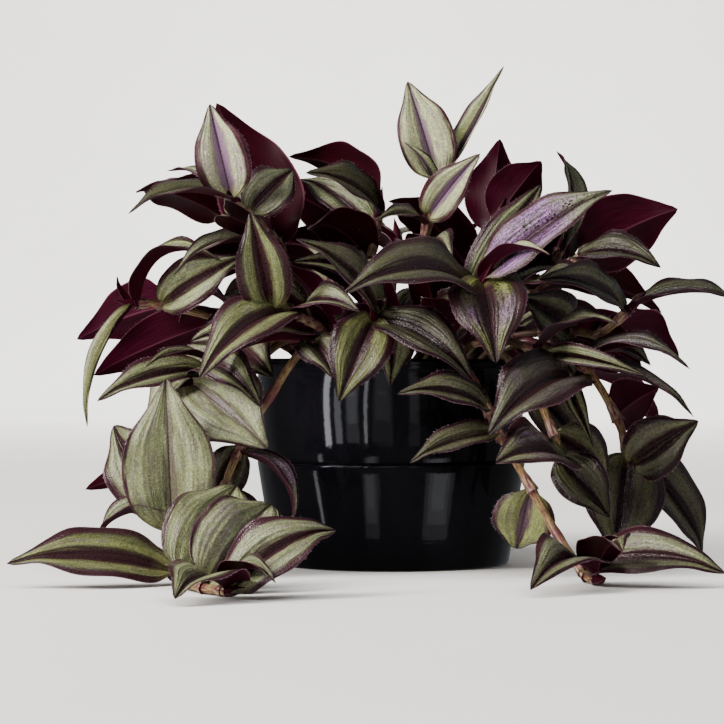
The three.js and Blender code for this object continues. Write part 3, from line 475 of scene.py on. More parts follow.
front_stems = [
    {
        "name": "stem_upper_left",
        "root": [-25, -8],
        "nodes": [seen(-36, 118, -14), seen(-48, 140, -24), seen(-57, 156, -32), seen(-77, 175, -38)],
        "blades": [
            blade(4, seen(-87, 220, -46), 28, FRONT, 0.06, 22, "frost"),
            blade(4, seen(-127, 180, -52), 24, UP, 0.14, 20, "dull"),
            blade(3, seen(-92, 182, -80), 20, LEFT_UP, 0.12, 50),
            blade(4, seen(-47, 189, -22), 25, FRONT, 0.08, 15),
            blade(3, seen(-79, 215, 6), 42, BACK, 0.1, 10),
            blade(3, seen(-99, 156, -62), 22, UP, 0.16, 25),
            blade(4, seen(-107, 190, -6), 17, UP, 0.1, 25),
        ],
    },
    {
        "name": "stem_left",
        "root": [-34, 8],
        "nodes": [seen(-50, 114, 2), seen(-80, 117, -6), seen(-110, 124, -14), seen(-123, 124, -18)],
        "blades": [
            blade(4, seen(-147, 66, -34), 13, FRONT_LEFT, 0.14, 58, "pale"),
            blade(4, seen(-82, 146, -34), 24, UP, 0.3, 28, "olive"),
            blade(3, seen(-72, 147, -30), 26, FRONT, 0.08, 20),
            blade(3, seen(-150, 108, 18), 32, BACK, 0.14, 15),
            blade(2, seen(-138, 84, 2), 28, BACK, 0.1, 15),
            blade(2, seen(-104, 130, 36), 30, BACK_UP, 0.12, 15),
            blade(4, seen(-132, 137, -22), 8, LEFT_UP, 0.1, 50, "pale"),
            blade(2, seen(-92, 92, -32), 24, FRONT_UP, 0.12, 18),
        ],
    },
    {
        "name": "stem_left_low",
        "root": [-42, -16],
        "nodes": [seen(-57, 107, -28), seen(-78, 100, -44), seen(-96, 86, -60)],
        "blades": [
            blade(3, seen(-60, 56, -96), 45, FRONT, 0.08, 12, "sage"),
            blade(3, seen(-63, 76, -92), 25, FRONT_UP, 0.24, 20, "moss"),
            blade(3, seen(-141, 79, -78), 21, FRONT_UP, 0.08, 22),
            blade(2, seen(-124, 70, -46), 36, FRONT_LEFT, 0.12, 16, "sage"),
            blade(2, seen(-68, 74, -74), 26, FRONT, 0.06, 15),
            blade(3, seen(-118, 95, -80), 12, UP, 0.12, 30),
            blade(1, seen(-94, 112, -48), 26, FRONT_UP, 0.1, 18),
        ],
    },
    {
        "name": "stem_left_trailing",
        "root": [-28, -36],
        "nodes": [
            seen(-47, 108, -48),
            seen(-72, 88, -62),
            seen(-94, 56, -74),
            seen(-105, 15, -96),
            laid(-96, -120, 2.2),
            laid(-89, -146),
            laid(-80, -168),
            laid(-68, -184),
        ],
        "blades": [
            blade(4, seen(-108, 88, -98), 43, FRONT, 0.05, 14, "sage"),
            blade(6, seen(-74, 38, -116), 42, FRONT, 0.08, 20, "sage"),
            blade(7, seen(-46, 28, -136), 40, FRONT, 0.1, 18, "sage"),
            blade(5, [-168, -132, 4], 31, FRONT_UP, 0.08, 18, "olive"),
            blade(8, [-19, -192, 13], 32, FRONT_UP, 0.16, 18),
            blade(3.7, seen(-134, 66, -72), 36, FRONT_LEFT, 0.08, 18),
            blade(8, [-88, -226, 5], 34, UP, 0.12, 18),
            blade(3.3, seen(-146, 36, -56), 24, BACK, 0.14, 20),
            blade(4, seen(-139, 12, -84), 20, LEFT_UP, 0.22, 40),
            blade(8, [-42, -212, 5], 15, UP, 0.16, 40),
        ],
    },
    {
        "name": "stem_left_hanging",
        "root": [-14, -44],
        "nodes": [seen(-38, 105, -70), seen(-58, 80, -80), seen(-74, 52, -84), seen(-81, 34, -88)],
        "blades": [
            blade(3, seen(-50, 24, -104), 15, UP, 0.24, 45, "mauve"),
            blade(1, seen(-32, 92, -92), 25, FRONT_UP, 0.14, 18),
            blade(4, seen(-66, 8, -84), 20, FRONT_UP, 0.1, 22, "mauve"),
            blade(3, seen(-96, 34, -80), 22, FRONT, 0.1, 20, "dark"),
        ],
    },
    {
        "name": "stem_front_left",
        "root": [-18, -24],
        "nodes": [seen(-30, 110, -42), seen(-47, 120, -60), seen(-58, 122, -68)],
        "blades": [
            blade(2, seen(-92, 90, -100), 31, FRONT_UP, 0.16, 20, "olive"),
            blade(3, seen(-76, 167, -78), 27, FRONT, 0.07, 22, "olive"),
            blade(2, seen(-22, 104, -88), 22, FRONT_UP, 0.16, 24),
            blade(1, seen(-60, 96, -84), 24, BACK_UP, 0.14, 15),
            blade(2, seen(-44, 136, -84), 9, FRONT_UP, 0.1, 45),
            blade(2, seen(-84, 126, -52), 26, FRONT_UP, 0.12, 20),
        ],
    },
    {
        "name": "stem_front",
        "root": [-3, -26],
        "nodes": [seen(-4, 112, -50), seen(-8, 117, -74)],
        "blades": [
            blade(2, seen(-25, 78, -92), 30, FRONT, 0.12, 20, "bronze"),
            blade(2, seen(39, 89, -96), 27, FRONT_UP, 0.14, 18, "shadow"),
            blade(2, seen(-56, 133, -92), 23, FRONT_UP, 0.14, 24, "dull"),
            blade(2, seen(-3, 126, -84), 6, FRONT_UP, 0.1, 50),
            blade(1, seen(14, 92, -82), 24, BACK_UP, 0.12, 16),
            blade(1, seen(-30, 98, -78), 20, BACK_UP, 0.12, 16),
        ],
    },
    {
        "name": "stem_front_right",
        "root": [16, -18],
        "nodes": [seen(27, 113, -36), seen(40, 128, -58), seen(45, 136, -66)],
        "blades": [
            blade(3, seen(105, 180, -84), 31, FRONT_UP, 0.05, 18, "lilac"),
            blade(2, seen(-22, 131, -96), 36, FRONT_UP, 0.2, 18, "dark"),
            blade(3, seen(42, 97, -98), 38, FRONT, 0.12, 20, "heart"),
            blade(3, seen(78, 142, -96), 14, UP, 0.16, 42, "cream"),
            blade(2, seen(72, 182, -46), 25, FRONT, 0.08, 18),
            blade(1, seen(58, 98, -66), 26, FRONT, 0.12, 18, "dark"),
        ],
    },
    {
        "name": "stem_top",
        "root": [8, 4],
        "nodes": [seen(10, 116, 0), seen(13, 140, -8), seen(18, 166, -14), seen(22, 184, -16)],
        "blades": [
            blade(4, seen(8, 231, -20), 29, FRONT, 0.05, 22, "cream"),
            blade(4, seen(53, 239, -24), 18, FRONT_LEFT, -0.08, 52, "cream"),
            blade(3, seen(42, 196, -38), 22, FRONT, 0.06, 26, "cream"),
            blade(2, seen(29, 145, -56), 22, UP, 0.22, 30),
            blade(4, seen(6, 199, -32), 10, FRONT_UP, 0.12, 35, "cream"),
            blade(3, seen(-7, 165, -46), 14, FRONT_UP, 0.1, 30),
            blade(2, seen(-24, 152, -44), 24, BACK_UP, 0.14, 18),
        ],
    },
    {
        "name": "stem_top_left",
        "root": [-9, -4],
        "nodes": [seen(-10, 118, -4), seen(-10, 144, -8), seen(-6, 168, -6)],
        "blades": [
            blade(3, seen(-40, 188, -28), 25, FRONT_UP, 0.12, 20, "dull"),
            blade(3, seen(-46, 190, 28), 36, BACK_UP, 0.2, 15),
            blade(3, seen(-30, 200, 4), 24, FRONT_UP, 0.1, 18),
            blade(2, seen(-40, 161, -34), 30, BACK_UP, 0.22, 16),
            blade(2, seen(-46, 145, -48), 17, FRONT, 0.1, 25),
            blade(2, seen(-52, 164, 4), 28, BACK_UP, 0.12, 16),
            blade(3, seen(-64, 184, 6), 30, BACK, 0.12, 15),
        ],
    },
    {
        "name": "stem_top_right",
        "root": [20, 10],
        "nodes": [seen(28, 118, 12), seen(40, 145, 14), seen(50, 164, 14)],
        "blades": [
            blade(3, seen(72, 193, 4), 27, BACK, 0.1, 18),
            blade(3, seen(52, 203, 24), 29, BACK, 0.1, 18),
            blade(2, seen(74, 158, -22), 26, FRONT_UP, 0.14, 20),
            blade(2, seen(0, 160, -30), 31, BACK_UP, 0.14, 15),
            blade(3, seen(88, 182, 34), 28, BACK_UP, 0.12, 18),
        ],
    },
    {
        "name": "stem_right_high",
        "root": [36, 4],
        "nodes": [seen(48, 112, 0), seen(72, 134, -4), seen(93, 148, -8)],
        "blades": [
            blade(3, seen(137, 170, -2), 38, BACK, 0.14, 15),
            blade(3, seen(129, 143, -40), 24, FRONT_UP, 0.12, 22, "dark"),
            blade(2, seen(134, 128, 16), 28, BACK_UP, 0.12, 16, "dark"),
            blade(3, seen(112, 169, 12), 25, BACK_UP, 0.1, 20),
            blade(2, seen(96, 132, -44), 24, FRONT_UP, 0.12, 20, "dark"),
        ],
    },
    {
        "name": "stem_right",
        "root": [42, -8],
        "nodes": [seen(57, 108, -14), seen(86, 111, -24), seen(100, 110, -32), seen(115, 122, -38)],
        "blades": [
            blade(4, seen(166, 127, -52), 27, UP, 0.1, 20, "dark"),
            blade(4, seen(72, 137, -62), 27, FRONT_UP, 0.14, 18, "dark"),
            blade(2, seen(62, 128, -52), 27, FRONT, 0.08, 16, "dark"),
            blade(3, seen(138, 100, -12), 32, BACK_UP, 0.12, 15),
            blade(2, seen(118, 88, -40), 28, BACK, 0.1, 18),
        ],
    },
    {
        "name": "stem_right_middle",
        "root": [36, -26],
        "nodes": [seen(50, 107, -42), seen(70, 101, -58), seen(90, 89, -70)],
        "blades": [
            blade(3, seen(47, 63, -106), 37, FRONT_UP, 0.16, 18, "plum"),
            blade(3, seen(143, 95, -90), 25, UP, 0.18, 22, "plum"),
            blade(3, seen(142, 80, -104), 15, UP, 0.1, 30, "plum"),
            blade(3, seen(82, 66, -104), 13, FRONT, 0.1, 40),
            blade(3, seen(112, 70, -102), 13, FRONT, 0.1, 40),
            blade(2, seen(108, 116, -78), 24, UP, 0.14, 20),
        ],
    },
    {
        "name": "stem_right_low",
        "root": [28, -38],
        "nodes": [seen(45, 106, -54), seen(66, 86, -68), seen(78, 62, -76), seen(82, 47, -80)],
        "blades": [
            blade(4, seen(51, 49, -114), 37, FRONT_UP, 0.14, 16, "mauve"),
            blade(3, seen(104, 42, -72), 27, FRONT, 0.08, 20, "shadow"),
            blade(4, seen(94, 14, -84), 25, FRONT, 0.08, 20, "shadow"),
            blade(2, seen(104, 68, -66), 26, FRONT, 0.1, 20, "shadow"),
        ],
    },
    {
        "name": "stem_far_right",
        "root": [47, -14],
        "nodes": [seen(66, 106, -18), seen(92, 94, -32), seen(108, 70, -44), seen(115, 47, -52)],
        "blades": [
            blade(4, seen(147, 68, -70), 30, FRONT, 0.08, 20, "dark"),
            blade(4, seen(107, 3, -64), 39, FRONT, 0.08, 16, "shadow"),
            blade(3.6, seen(152, 0, -74), 27, FRONT_RIGHT, 0.1, 18, "shadow"),
            blade(3, seen(128, 84, -34), 26, BACK, 0.1, 18, "shadow"),
            blade(4, seen(138, 45, -76), 13, UP, 0.12, 42, "shadow"),
            blade(2, seen(126, 104, -56), 24, UP, 0.16, 20),
        ],
    },
    {
        "name": "stem_right_trailing",
        "root": [10, -42],
        "nodes": [
            seen(24, 107, -62),
            seen(39, 88, -78),
            seen(52, 62, -86),
            seen(67, 36, -92),
            seen(80, 13, -100),
            laid(84, -116, 1.2),
            laid(88, -130),
        ],
        "blades": [
            blade(6, [56, -188, 6], 31, FRONT_UP, 0.12, 20),
            blade(6, [141, -142, 8], 29, FRONT_UP, 0.12, 20),
            blade(3, seen(9, 49, -100), 17, FRONT_UP, 0.08, 25, "dull"),
            blade(2.6, seen(7, 92, -98), 21, FRONT_UP, 0.14, 22, "dark"),
            blade(4, seen(60, 6, -76), 29, FRONT, 0.08, 14, "yellow"),
            blade(7, [92, -162, 5], 14, UP, 0.14, 40),
            blade(7, [112, -172, 7], 24, UP, 0.14, 25),
            blade(1, seen(40, 118, -84), 22, UP, 0.12, 22),
        ],
    },
]

# The stems of the back, which the front view doesn't show, stand at even bearings in degrees. Each second one
# is high. Their leaves turn aside by so much, in radians, each at its node. A pair of numbers is a range.
BACK_STEMS = 9
BACK_FROM = 14
BACK_TO = 160
BEARING_SPREAD = (-4, 4)
ROOT_REACH = (18, 30)
LOW_ROOT_FURTHER = 14
HIGH_REACH = (62, 88)
LOW_REACH = (96, 116)
HIGH_END = (148, 174)
LOW_END = (66, 104)
BACK_LEAVES = ((4, 0.05), (4, 0.85), (3, -0.7), (3, 1.05), (2, -0.95), (1, -1.15))
BACK_LEAF_LENGTH = (46, 62)
BACK_LEAF_SWING = (-0.25, 0.25)
BACK_LEAF_RISE = (-0.5, 0.6)
HIGH_LEAF_LIFT = 0.12
LOW_LEAF_LIFT = -0.15
BACK_LEAF_WIDTH = (0.44, 0.56)
BACK_LEAF_BOW = (0.06, 0.18)
BACK_LEAF_FOLD = (14, 28)
INNER_LEAF_TURN = (-1.3, 1.3)
INNER_LEAF_LENGTH = (42, 54)
INNER_LEAF_RISE = (0.1, 0.9)
INNER_LEAF_WIDTH = (0.44, 0.54)
INNER_LEAF_BOW = 0.1
INNER_LEAF_FOLD = (14, 26)


def reached(place, bearing, rise, size):
    """The point that lies so far from a place, at a bearing and with a rise."""
    x, y, z = place
    level = size * math.cos(rise)
    return (x + math.cos(bearing) * level, y + math.sin(bearing) * level, z + size * math.sin(rise))


def facing_out(bearing):
    """The way that faces up and a little outward at a bearing."""
    return (math.cos(bearing) * 0.5, math.sin(bearing) * 0.5, 1)


def back_stem(index, draw):
    """One stem of the back: it leaves the pot at its own bearing, with blades to both sides in turn."""
    share = index / (BACK_STEMS - 1)
    bearing = math.radians(BACK_FROM + (BACK_TO - BACK_FROM) * share + between(draw, *BEARING_SPREAD))
    high = index % 2 == 0
    root_reach = between(draw, *ROOT_REACH) + (0 if high else LOW_ROOT_FURTHER)
    reach = between(draw, *(HIGH_REACH if high else LOW_REACH))
    end_height = between(draw, *(HIGH_END if high else LOW_END))

    def out(distance, z, swing):
        return reached((0, 0, z), bearing + swing, 0, distance)

    if high:
        nodes = [
            out(root_reach + 8, 116, 0),
            out((root_reach + reach) / 2, 136, 0.06),
            out(reach - 10, end_height - 16, -0.04),
            out(reach, end_height, 0.02),
        ]
    else:
        nodes = [
            out(root_reach + 14, 110, 0),
            out(reach * 0.74, 112, -0.05),
            out(reach * 0.9, (end_height + 112) / 2, 0.04),
            out(reach, end_height, 0),
        ]
    blades = []
    for node, turn in BACK_LEAVES:
        size = between(draw, *BACK_LEAF_LENGTH)
        rise = between(draw, *BACK_LEAF_RISE) + (HIGH_LEAF_LIFT if high else LOW_LEAF_LIFT)
        swing = turn + between(draw, *BACK_LEAF_SWING)
        tip = reached(nodes[node - 1], bearing + swing, rise, size)
        width = size * between(draw, *BACK_LEAF_WIDTH)
        bow = between(draw, *BACK_LEAF_BOW)
        fold = between(draw, *BACK_LEAF_FOLD)
        blades.append(blade(node, tip, width, facing_out(bearing), bow, fold))
    root = out(root_reach, 0, 0)
    return {"name": f"stem_back_{index + 1}", "root": root[:2], "nodes": nodes, "blades": blades}


def inner_blade(stem, draw):
    """A blade low on a front stem, in the plant's middle."""
    node = stem["nodes"][0]
    bearing = math.atan2(node[1], node[0]) + between(draw, *INNER_LEAF_TURN)
    size = between(draw, *INNER_LEAF_LENGTH)
    tip = reached(node, bearing, between(draw, *INNER_LEAF_RISE), size)
    width = size * between(draw, *INNER_LEAF_WIDTH)
    fold = between(draw, *INNER_LEAF_FOLD)
    return blade(1, tip, width, facing_out(bearing), INNER_LEAF_BOW, fold)


back_draw = draws(41)
back_stems = [back_stem(index, back_draw) for index in range(BACK_STEMS)]
inner_draw = draws(7)
for stem in front_stems:
    stem["blades"].append(inner_blade(stem, inner_draw))
stems = front_stems + back_stems


def course(stem):
    """The points of a stem's middle line: straight up out of the mix, then through its nodes."""
    x, y = stem["root"]
    low = [(x, y, SOIL_TOP - HOLE_DEPTH), (x, y, SOIL_TOP + SOIL_CROWN), (x, y, SOIL_TOP + STRAIGHT_RISE)]
    return [Vector(point) for point in low + list(stem["nodes"])]


def along_course(points, t):
    """A point at share t of a Catmull-Rom curve through the points, which goes on straight past its end."""
    count = len(points)
    if t > 1:
        onward = (points[-1] - along_course(points, 0.998)).normalized()
        return points[-1] + onward * (t - 1) * PAST_END
    place = (count - 1) * max(t, 0)
    at = min(int(place), count - 2)
    w = place - at
    p1, p2 = points[at], points[at + 1]
    p0 = points[at - 1] if at > 0 else p1 * 2 - p2
    p3 = points[at + 2] if at + 2 < count else p2 * 2 - p1
    t0, t1 = (p2 - p0) * 0.5, (p3 - p1) * 0.5
    return p1 + t0 * w + (p1 * -3 + p2 * 3 - t0 * 2 - t1) * w**2 + (p1 * 2 - p2 * 2 + t0 + t1) * w**3


def frame_of(base, tip, faces):
    """A leaf's base and length, and its ways along, across and out of its upper side."""
    along = tip - base
    length = along.length
    along.normalize()
    out = (faces - along * faces.dot(along)).normalized()
    return {"base": base, "along": along, "across": along.cross(out), "out": out, "length": length}


def bent_frame(base, leaf, size, turn, lift):
    """A leaf's frame when it is turned aside, lifted and made smaller."""
    straight = frame_of(base, leaf["tip"], leaf["faces"])
    along = straight["along"] * math.cos(turn) * math.cos(lift)
    along = along + straight["across"] * math.sin(turn) * math.cos(lift) + straight["out"] * math.sin(lift)
    return frame_of(base, base + along * straight["length"] * size, leaf["faces"])


def half_width(width, s):
    """Half the width of a leaf at share s of its length: a rounded base and a long pointed tip."""
    tip_power = BASE_ROUNDNESS * (1 - WIDEST_AT) / WIDEST_AT
    return width / 2 * (s / WIDEST_AT) ** BASE_ROUNDNESS * ((1 - s) / (1 - WIDEST_AT)) ** tip_power


def bends():
    """The ways that a leaf may be bent clear of its neighbours, the least bent first."""
    ways = []
    for size in BEND_SIZES:
        for ring in range(BEND_RINGS):
            for turn in range(-ring, ring + 1):
                for lift in range(-ring, ring + 1):
                    if max(abs(turn), abs(lift)) == ring:
                        ways.append((size, *(math.radians(step * BEND_DEGREES) for step in (turn, lift))))
    return ways


def as_grown(stem, leaf, corners):
    """The leaf's frame and width as it stands in the model's own solid, or nothing where it was left out."""
    sisters = [other for other in stem["blades"] if other["node"] == leaf["node"]]
    below = sisters.index(leaf) * CLASP_STEP / stem["length"]
    share = (leaf["node"] + 2) / (len(stem["course"]) - 1) - below
    base = along_course(stem["course"], share)
    for size, turn, lift in bends():
        grown = bent_frame(base, leaf, size, turn, lift)
        ahead = (grown["along"] - grown["out"] * leaf["bow"] * 4).normalized()
        up = grown["across"].cross(ahead)
        tip = grown["base"] + grown["along"] * grown["length"]
        half = up * BLADE_THICKNESS / 2
        if all(corners.find(spot * MM)[2] < MATCH * MM for spot in (tip + half, tip - half)):
            return {**leaf, **grown, "width": leaf["width"] * size, "share": share, "stem": stem}
    return None


# Colourings of a leaf: how silver its bands are, how purple its upper side is, how dark it is, how
# yellow-green it is, how wide its dark middle is, and how light it is. How dark it is is painted shade, and
# how light it is is painted light, by how deep in the plant's shade or how near the window's light the leaf
# stands; from 1.1 up, the light level also marks a young leaf's mauve middle and cream bands. Lit, young
# and shaded leaves differ most.
COATS = {
    "striped": (0.88, 0.08, 0.14, 0.15, 0.60, 1.06),
    "sage": (1.00, 0.02, 0.05, 0.14, 0.28, 1.14),
    "cream": (1.00, 0.02, 0.00, 0.22, 0.42, 1.50),
    "pale": (0.95, 0.02, 0.00, 0.35, 0.20, 1.35),
    "lilac": (1.00, 0.98, 0.05, 0.00, 0.22, 1.05),
    "heart": (0.95, 0.85, 0.15, 0.95, 0.80, 0.95),
    "shadow": (0.50, 0.10, 0.78, 0.50, 0.52, 0.80),
    "mauve": (0.80, 0.62, 0.25, 0.25, 0.62, 1.00),
    "olive": (0.80, 0.05, 0.16, 0.60, 0.62, 1.06),
    "dull": (0.35, 0.10, 0.45, 0.35, 0.35, 1.00),
    "dark": (0.55, 0.12, 0.56, 0.20, 0.60, 0.84),
    "yellow": (0.60, 0.00, 0.10, 0.95, 0.35, 1.20),
    "bronze": (0.72, 0.04, 0.42, 0.80, 0.60, 0.88),
    "moss": (0.85, 0.10, 0.30, 0.35, 0.64, 0.90),
    "plum": (0.58, 0.50, 0.64, 0.20, 0.60, 0.76),
    "frost": (1.00, 0.16, 0.00, 0.05, 0.52, 1.68),
}


def streaks(tree, place, along, across, detail, roughness=0.5):
    """Noise drawn out along a leaf or a shoot: so many grains along it and so many across it.

    A leaf is some 60 mm long and 28 mm wide, so 62 grains across it are 0.45 mm apart, as its veins are.
    A shoot's grains along it are counted to a millimetre.
    """
    stretch = add(tree, "VectorMath", {"operation": "MULTIPLY", 1: (along, across, 1.0)}, {0: place})
    drawn_out = {"Scale": 1.0, "Detail": detail, "Roughness": roughness}
    return add(tree, "TexNoise", drawn_out, {"Vector": stretch})


def leaf_places(tree):
    """The share along a leaf, its chances, a place for its veins, and how far off its middle a point lies."""
    uv = add(tree, "UVMap", {"uv_map": "blade"})
    split = add(tree, "SeparateXYZ", {}, {"Vector": uv})
    chance = add(tree, "Attribute", {"attribute_name": "chance"})
    chances = add(tree, "SeparateColor", {}, {"Color": chance})
    seed = add(tree, "Math", {"operation": "MULTIPLY", 1: 37.0}, {0: chances.outputs["Green"]})
    vein_place = add(tree, "CombineXYZ", {}, {"X": split, "Y": split.outputs["Y"], "Z": seed})
    both_sides = {"operation": "MULTIPLY_ADD", 1: 2.0, 2: -1.0}
    from_middle = add(tree, "Math", both_sides, {0: split.outputs["Y"]})
    off_middle = add(tree, "Math", {"operation": "ABSOLUTE"}, {0: from_middle})
    return split.outputs["X"], chance, chances, vein_place, off_middle


# Upper side of a tradescantia leaf: two silvery bands on a green and maroon ground. Air under the clear top
# cells makes the silver, which glints cell by cell (real cells are 0.15 mm, drawn as 0.67 mm): through the
# cells' relief and gloss, and through painted highlights that dim or light each cell's colour, up to half
# again as light. The middle and the margins stay maroon and streak into the bands along the veins, with a
# satin gloss over all of it.
leaf_upper, tree = new_material("tradescantia_leaf_upper_side")
place = add(tree, "NewGeometry")
coat = add(tree, "Attribute", {"attribute_name": "coat"})
silver, purple, dark = add(tree, "SeparateColor", {}, {"Color": coat}).outputs
along, chance, chances, vein_place, off_middle = leaf_places(tree)
lime, _, middle = chances.outputs
painted_light_and_youth = chance.outputs["Alpha"]
veins = streaks(tree, vein_place, 9.0, 62.0, 3.0, 0.6)
wander = streaks(tree, vein_place, 2.6, 9.0, 2.0)
patches = streaks(tree, vein_place, 8.0, 22.0, 3.0)
ribs = streaks(tree, vein_place, 1.2, 13.0, 1.0)

# Where the silver bands lie: between the dark middle and the margin, with an edge that wanders and feathers.
feather = add(tree, "Math", {"operation": "MULTIPLY_ADD", 1: 0.22, 2: -0.11}, {0: veins})
drift = add(tree, "Math", {"operation": "MULTIPLY_ADD", 1: 0.26, 2: -0.13}, {0: wander})
shifts = add(tree, "Math", {"operation": "ADD"}, {0: feather, 1: drift})
edge = add(tree, "Math", {"operation": "ADD"}, {0: off_middle, 1: shifts})
middle_reach = add(tree, "Math", {"operation": "MULTIPLY_ADD", 1: 0.40, 2: 0.05}, {0: middle})
middle_share = add(tree, "Math", {"operation": "DIVIDE"}, {0: edge, 1: middle_reach})
rising = {"interpolation_type": "SMOOTHSTEP", "From Min": 0.55, "From Max": 1.3}
past_middle = add(tree, "MapRange", rising, {"Value": middle_share})
margin_reach = add(tree, "Math", {"operation": "MULTIPLY_ADD", 1: 0.42}, {0: middle, 2: edge})
falling = {"interpolation_type": "SMOOTHSTEP", "To Min": 1.0}
within = {**falling, "From Min": 0.90, "From Max": 1.06, "To Max": 0.0}
inside_margin = add(tree, "MapRange", within, {"Value": margin_reach})
narrow = {"From Min": 0.10, "From Max": 0.40, "To Min": 0.55, "To Max": 0.0}
most = add(tree, "MapRange", narrow, {"Value": middle})
filled = add(tree, "Math", {"operation": "MAXIMUM"}, {0: past_middle, 1: most})
band = add(tree, "Math", {"operation": "MULTIPLY"}, {0: filled, 1: inside_margin})
amount = add(tree, "Math", {"operation": "MULTIPLY"}, {0: band, 1: silver})

# The ground: green under the bands, brown and maroon at the middle and the margins, mauve when young.
ground_stops = [(0.0, "#2f2022"), (0.12, "#3a2c22"), (0.50, "#444729"), (0.72, "#3d2f2a")]
ground_stops += [(0.84, "#43202a"), (1.0, "#30121a")]
ground = add(tree, "ValToRGB", {"stops": ground_stops}, {"Fac": edge})
middle_mark = add(tree, "Math", {"operation": "MULTIPLY_ADD", 1: -0.9, 2: 0.9}, {0: past_middle})
young = add(tree, "MapRange", {"From Min": 1.1, "From Max": 1.4}, {"Value": painted_light_and_youth})
middle_tone = add(tree, "Mix", {"data_type": "RGBA", "A": "#3f2028", "B": "#7a6079"}, {"Factor": young})
maroon = add(tree, "Mix", {"data_type": "RGBA"}, {"Factor": middle_mark, "A": ground, "B": middle_tone})

# The silver: pale green, greener in a lime leaf and creamy in a young one, with painted light and shade
# of its swells in broad streaks.
speckle = add(tree, "TexNoise", {"Scale": 1.3 / MM, "Detail": 2.0}, {"Vector": place})
tone = add(tree, "Mix", {"data_type": "FLOAT", "Factor": 0.22}, {"A": speckle, "B": veins})
mottle = add(tree, "Mix", {"data_type": "FLOAT", "Factor": 0.35}, {"A": tone, "B": patches})
pale_stops = [(0.38, "#828a62"), (0.51, "#99a179"), (0.62, "#b5bc98")]
pale = add(tree, "ValToRGB", {"stops": pale_stops}, {"Fac": mottle})
leafy = add(tree, "ValToRGB", {"stops": [(0.38, "#6a7632"), (0.62, "#a9b262")]}, {"Fac": mottle})
tinted = add(tree, "Mix", {"data_type": "RGBA"}, {"Factor": lime, "A": pale, "B": leafy})
# Painted light and shade: broad streaks scale the silver from about two thirds to 1.3 times.
uneven = {"From Min": 0.36, "From Max": 0.64, "To Min": 0.64, "To Max": 1.30}
painted_swell_light = add(tree, "MapRange", uneven, {"Value": wander})
shimmer = add(tree, "VectorMath", {"operation": "SCALE"}, {0: tinted, "Scale": painted_swell_light})
cream_share = add(tree, "Math", {"operation": "MULTIPLY", 1: 0.6}, {0: young})
creamed = add(tree, "Mix", {"data_type": "RGBA", "B": "#bec494"}, {"Factor": cream_share, "A": shimmer})
stained = add(tree, "ValToRGB", {"stops": [(0.52, 0.0), (0.66, 0.55)]}, {"Fac": patches})
bruised = add(tree, "Mix", {"data_type": "RGBA", "B": "#6a5468"}, {"Factor": stained, "A": creamed})

# Lilac patches of a purple leaf: over the bands' inner parts, and not at the green base or the tip.
grain = add(tree, "Mix", {"data_type": "FLOAT", "Factor": 0.5}, {"A": speckle, "B": patches})
lilac_stops = [(0.40, "#2a1730"), (0.50, "#743884"), (0.59, "#b085ba")]
lilac = add(tree, "ValToRGB", {"stops": lilac_stops}, {"Fac": grain})
to_tip = {**falling, "From Min": 0.55, "From Max": 0.84, "To Max": 0.10}
tipwards = add(tree, "MapRange", to_tip, {"Value": along})
to_margin = {**falling, "From Min": 0.78, "From Max": 0.95, "To Max": 0.35}
outwards = add(tree, "MapRange", to_margin, {"Value": edge})
whole_zone = add(tree, "Math", {"operation": "MULTIPLY"}, {0: tipwards, 1: outwards})
near_base = add(tree, "MapRange", {"From Min": 0.55, "From Max": 0.25}, {"Value": along})
green_base = add(tree, "Math", {"operation": "MULTIPLY"}, {0: near_base, 1: lime})
past_base = add(tree, "Math", {"operation": "SUBTRACT", 0: 1.0}, {1: green_base})
lilac_zone = add(tree, "Math", {"operation": "MULTIPLY"}, {0: whole_zone, 1: past_base})
patchy = {"From Min": 0.40, "From Max": 0.52, "To Min": 0.85}
lilac_patch = add(tree, "MapRange", patchy, {"Value": patches})
lilac_part = add(tree, "Math", {"operation": "MULTIPLY"}, {0: lilac_zone, 1: lilac_patch})
lilac_here = add(tree, "Math", {"operation": "MULTIPLY"}, {0: purple, 1: lilac_part})
banded = add(tree, "Mix", {"data_type": "RGBA"}, {"Factor": lilac_here, "A": bruised, "B": lilac})
striped = add(tree, "Mix", {"data_type": "RGBA"}, {"Factor": amount, "A": maroon, "B": banded})

# Dark pinpricks in rows beside the middle of a lilac leaf, 1 to 2 mm apart.
rows_place = add(tree, "VectorMath", {"operation": "MULTIPLY", 1: (40.0, 17.0, 1.0)}, {0: vein_place})
pricks = add(tree, "TexVoronoi", {"Scale": 1.0, "Randomness": 0.7}, {"Vector": rows_place})
prick = add(tree, "ValToRGB", {"stops": [(0.30, 1.0), (0.42, 0.0)]}, {"Fac": pricks.outputs["Distance"]})
near_middle = add(tree, "MapRange", {"From Min": 0.75, "From Max": 0.40}, {"Value": off_middle})
very_purple = add(tree, "MapRange", {"From Min": 0.6, "From Max": 0.8}, {"Value": purple})
prick_here = add(tree, "Math", {"operation": "MULTIPLY"}, {0: near_middle, 1: very_purple})
pricked = add(tree, "Math", {"operation": "MULTIPLY"}, {0: prick, 1: prick_here})
dotted = add(tree, "Mix", {"data_type": "RGBA", "B": "#1c1318"}, {"Factor": pricked, "A": striped})

# Painted highlights: each cell's colour over the silver bands is dimmed or lit, up to half again, as a glint.
cells = add(tree, "TexVoronoi", {"Scale": 1.5 / MM}, {"Vector": place})
painted_glint_stops = [(0.25, 0.82), (0.70, 1.0), (0.94, 1.55)]
painted_glints = add(tree, "ValToRGB", {"stops": painted_glint_stops}, {"Fac": cells.outputs["Color"]})
times = {"data_type": "RGBA", "blend_type": "MULTIPLY"}
painted = add(tree, "Mix", times, {"Factor": amount, "A": dotted, "B": painted_glints})

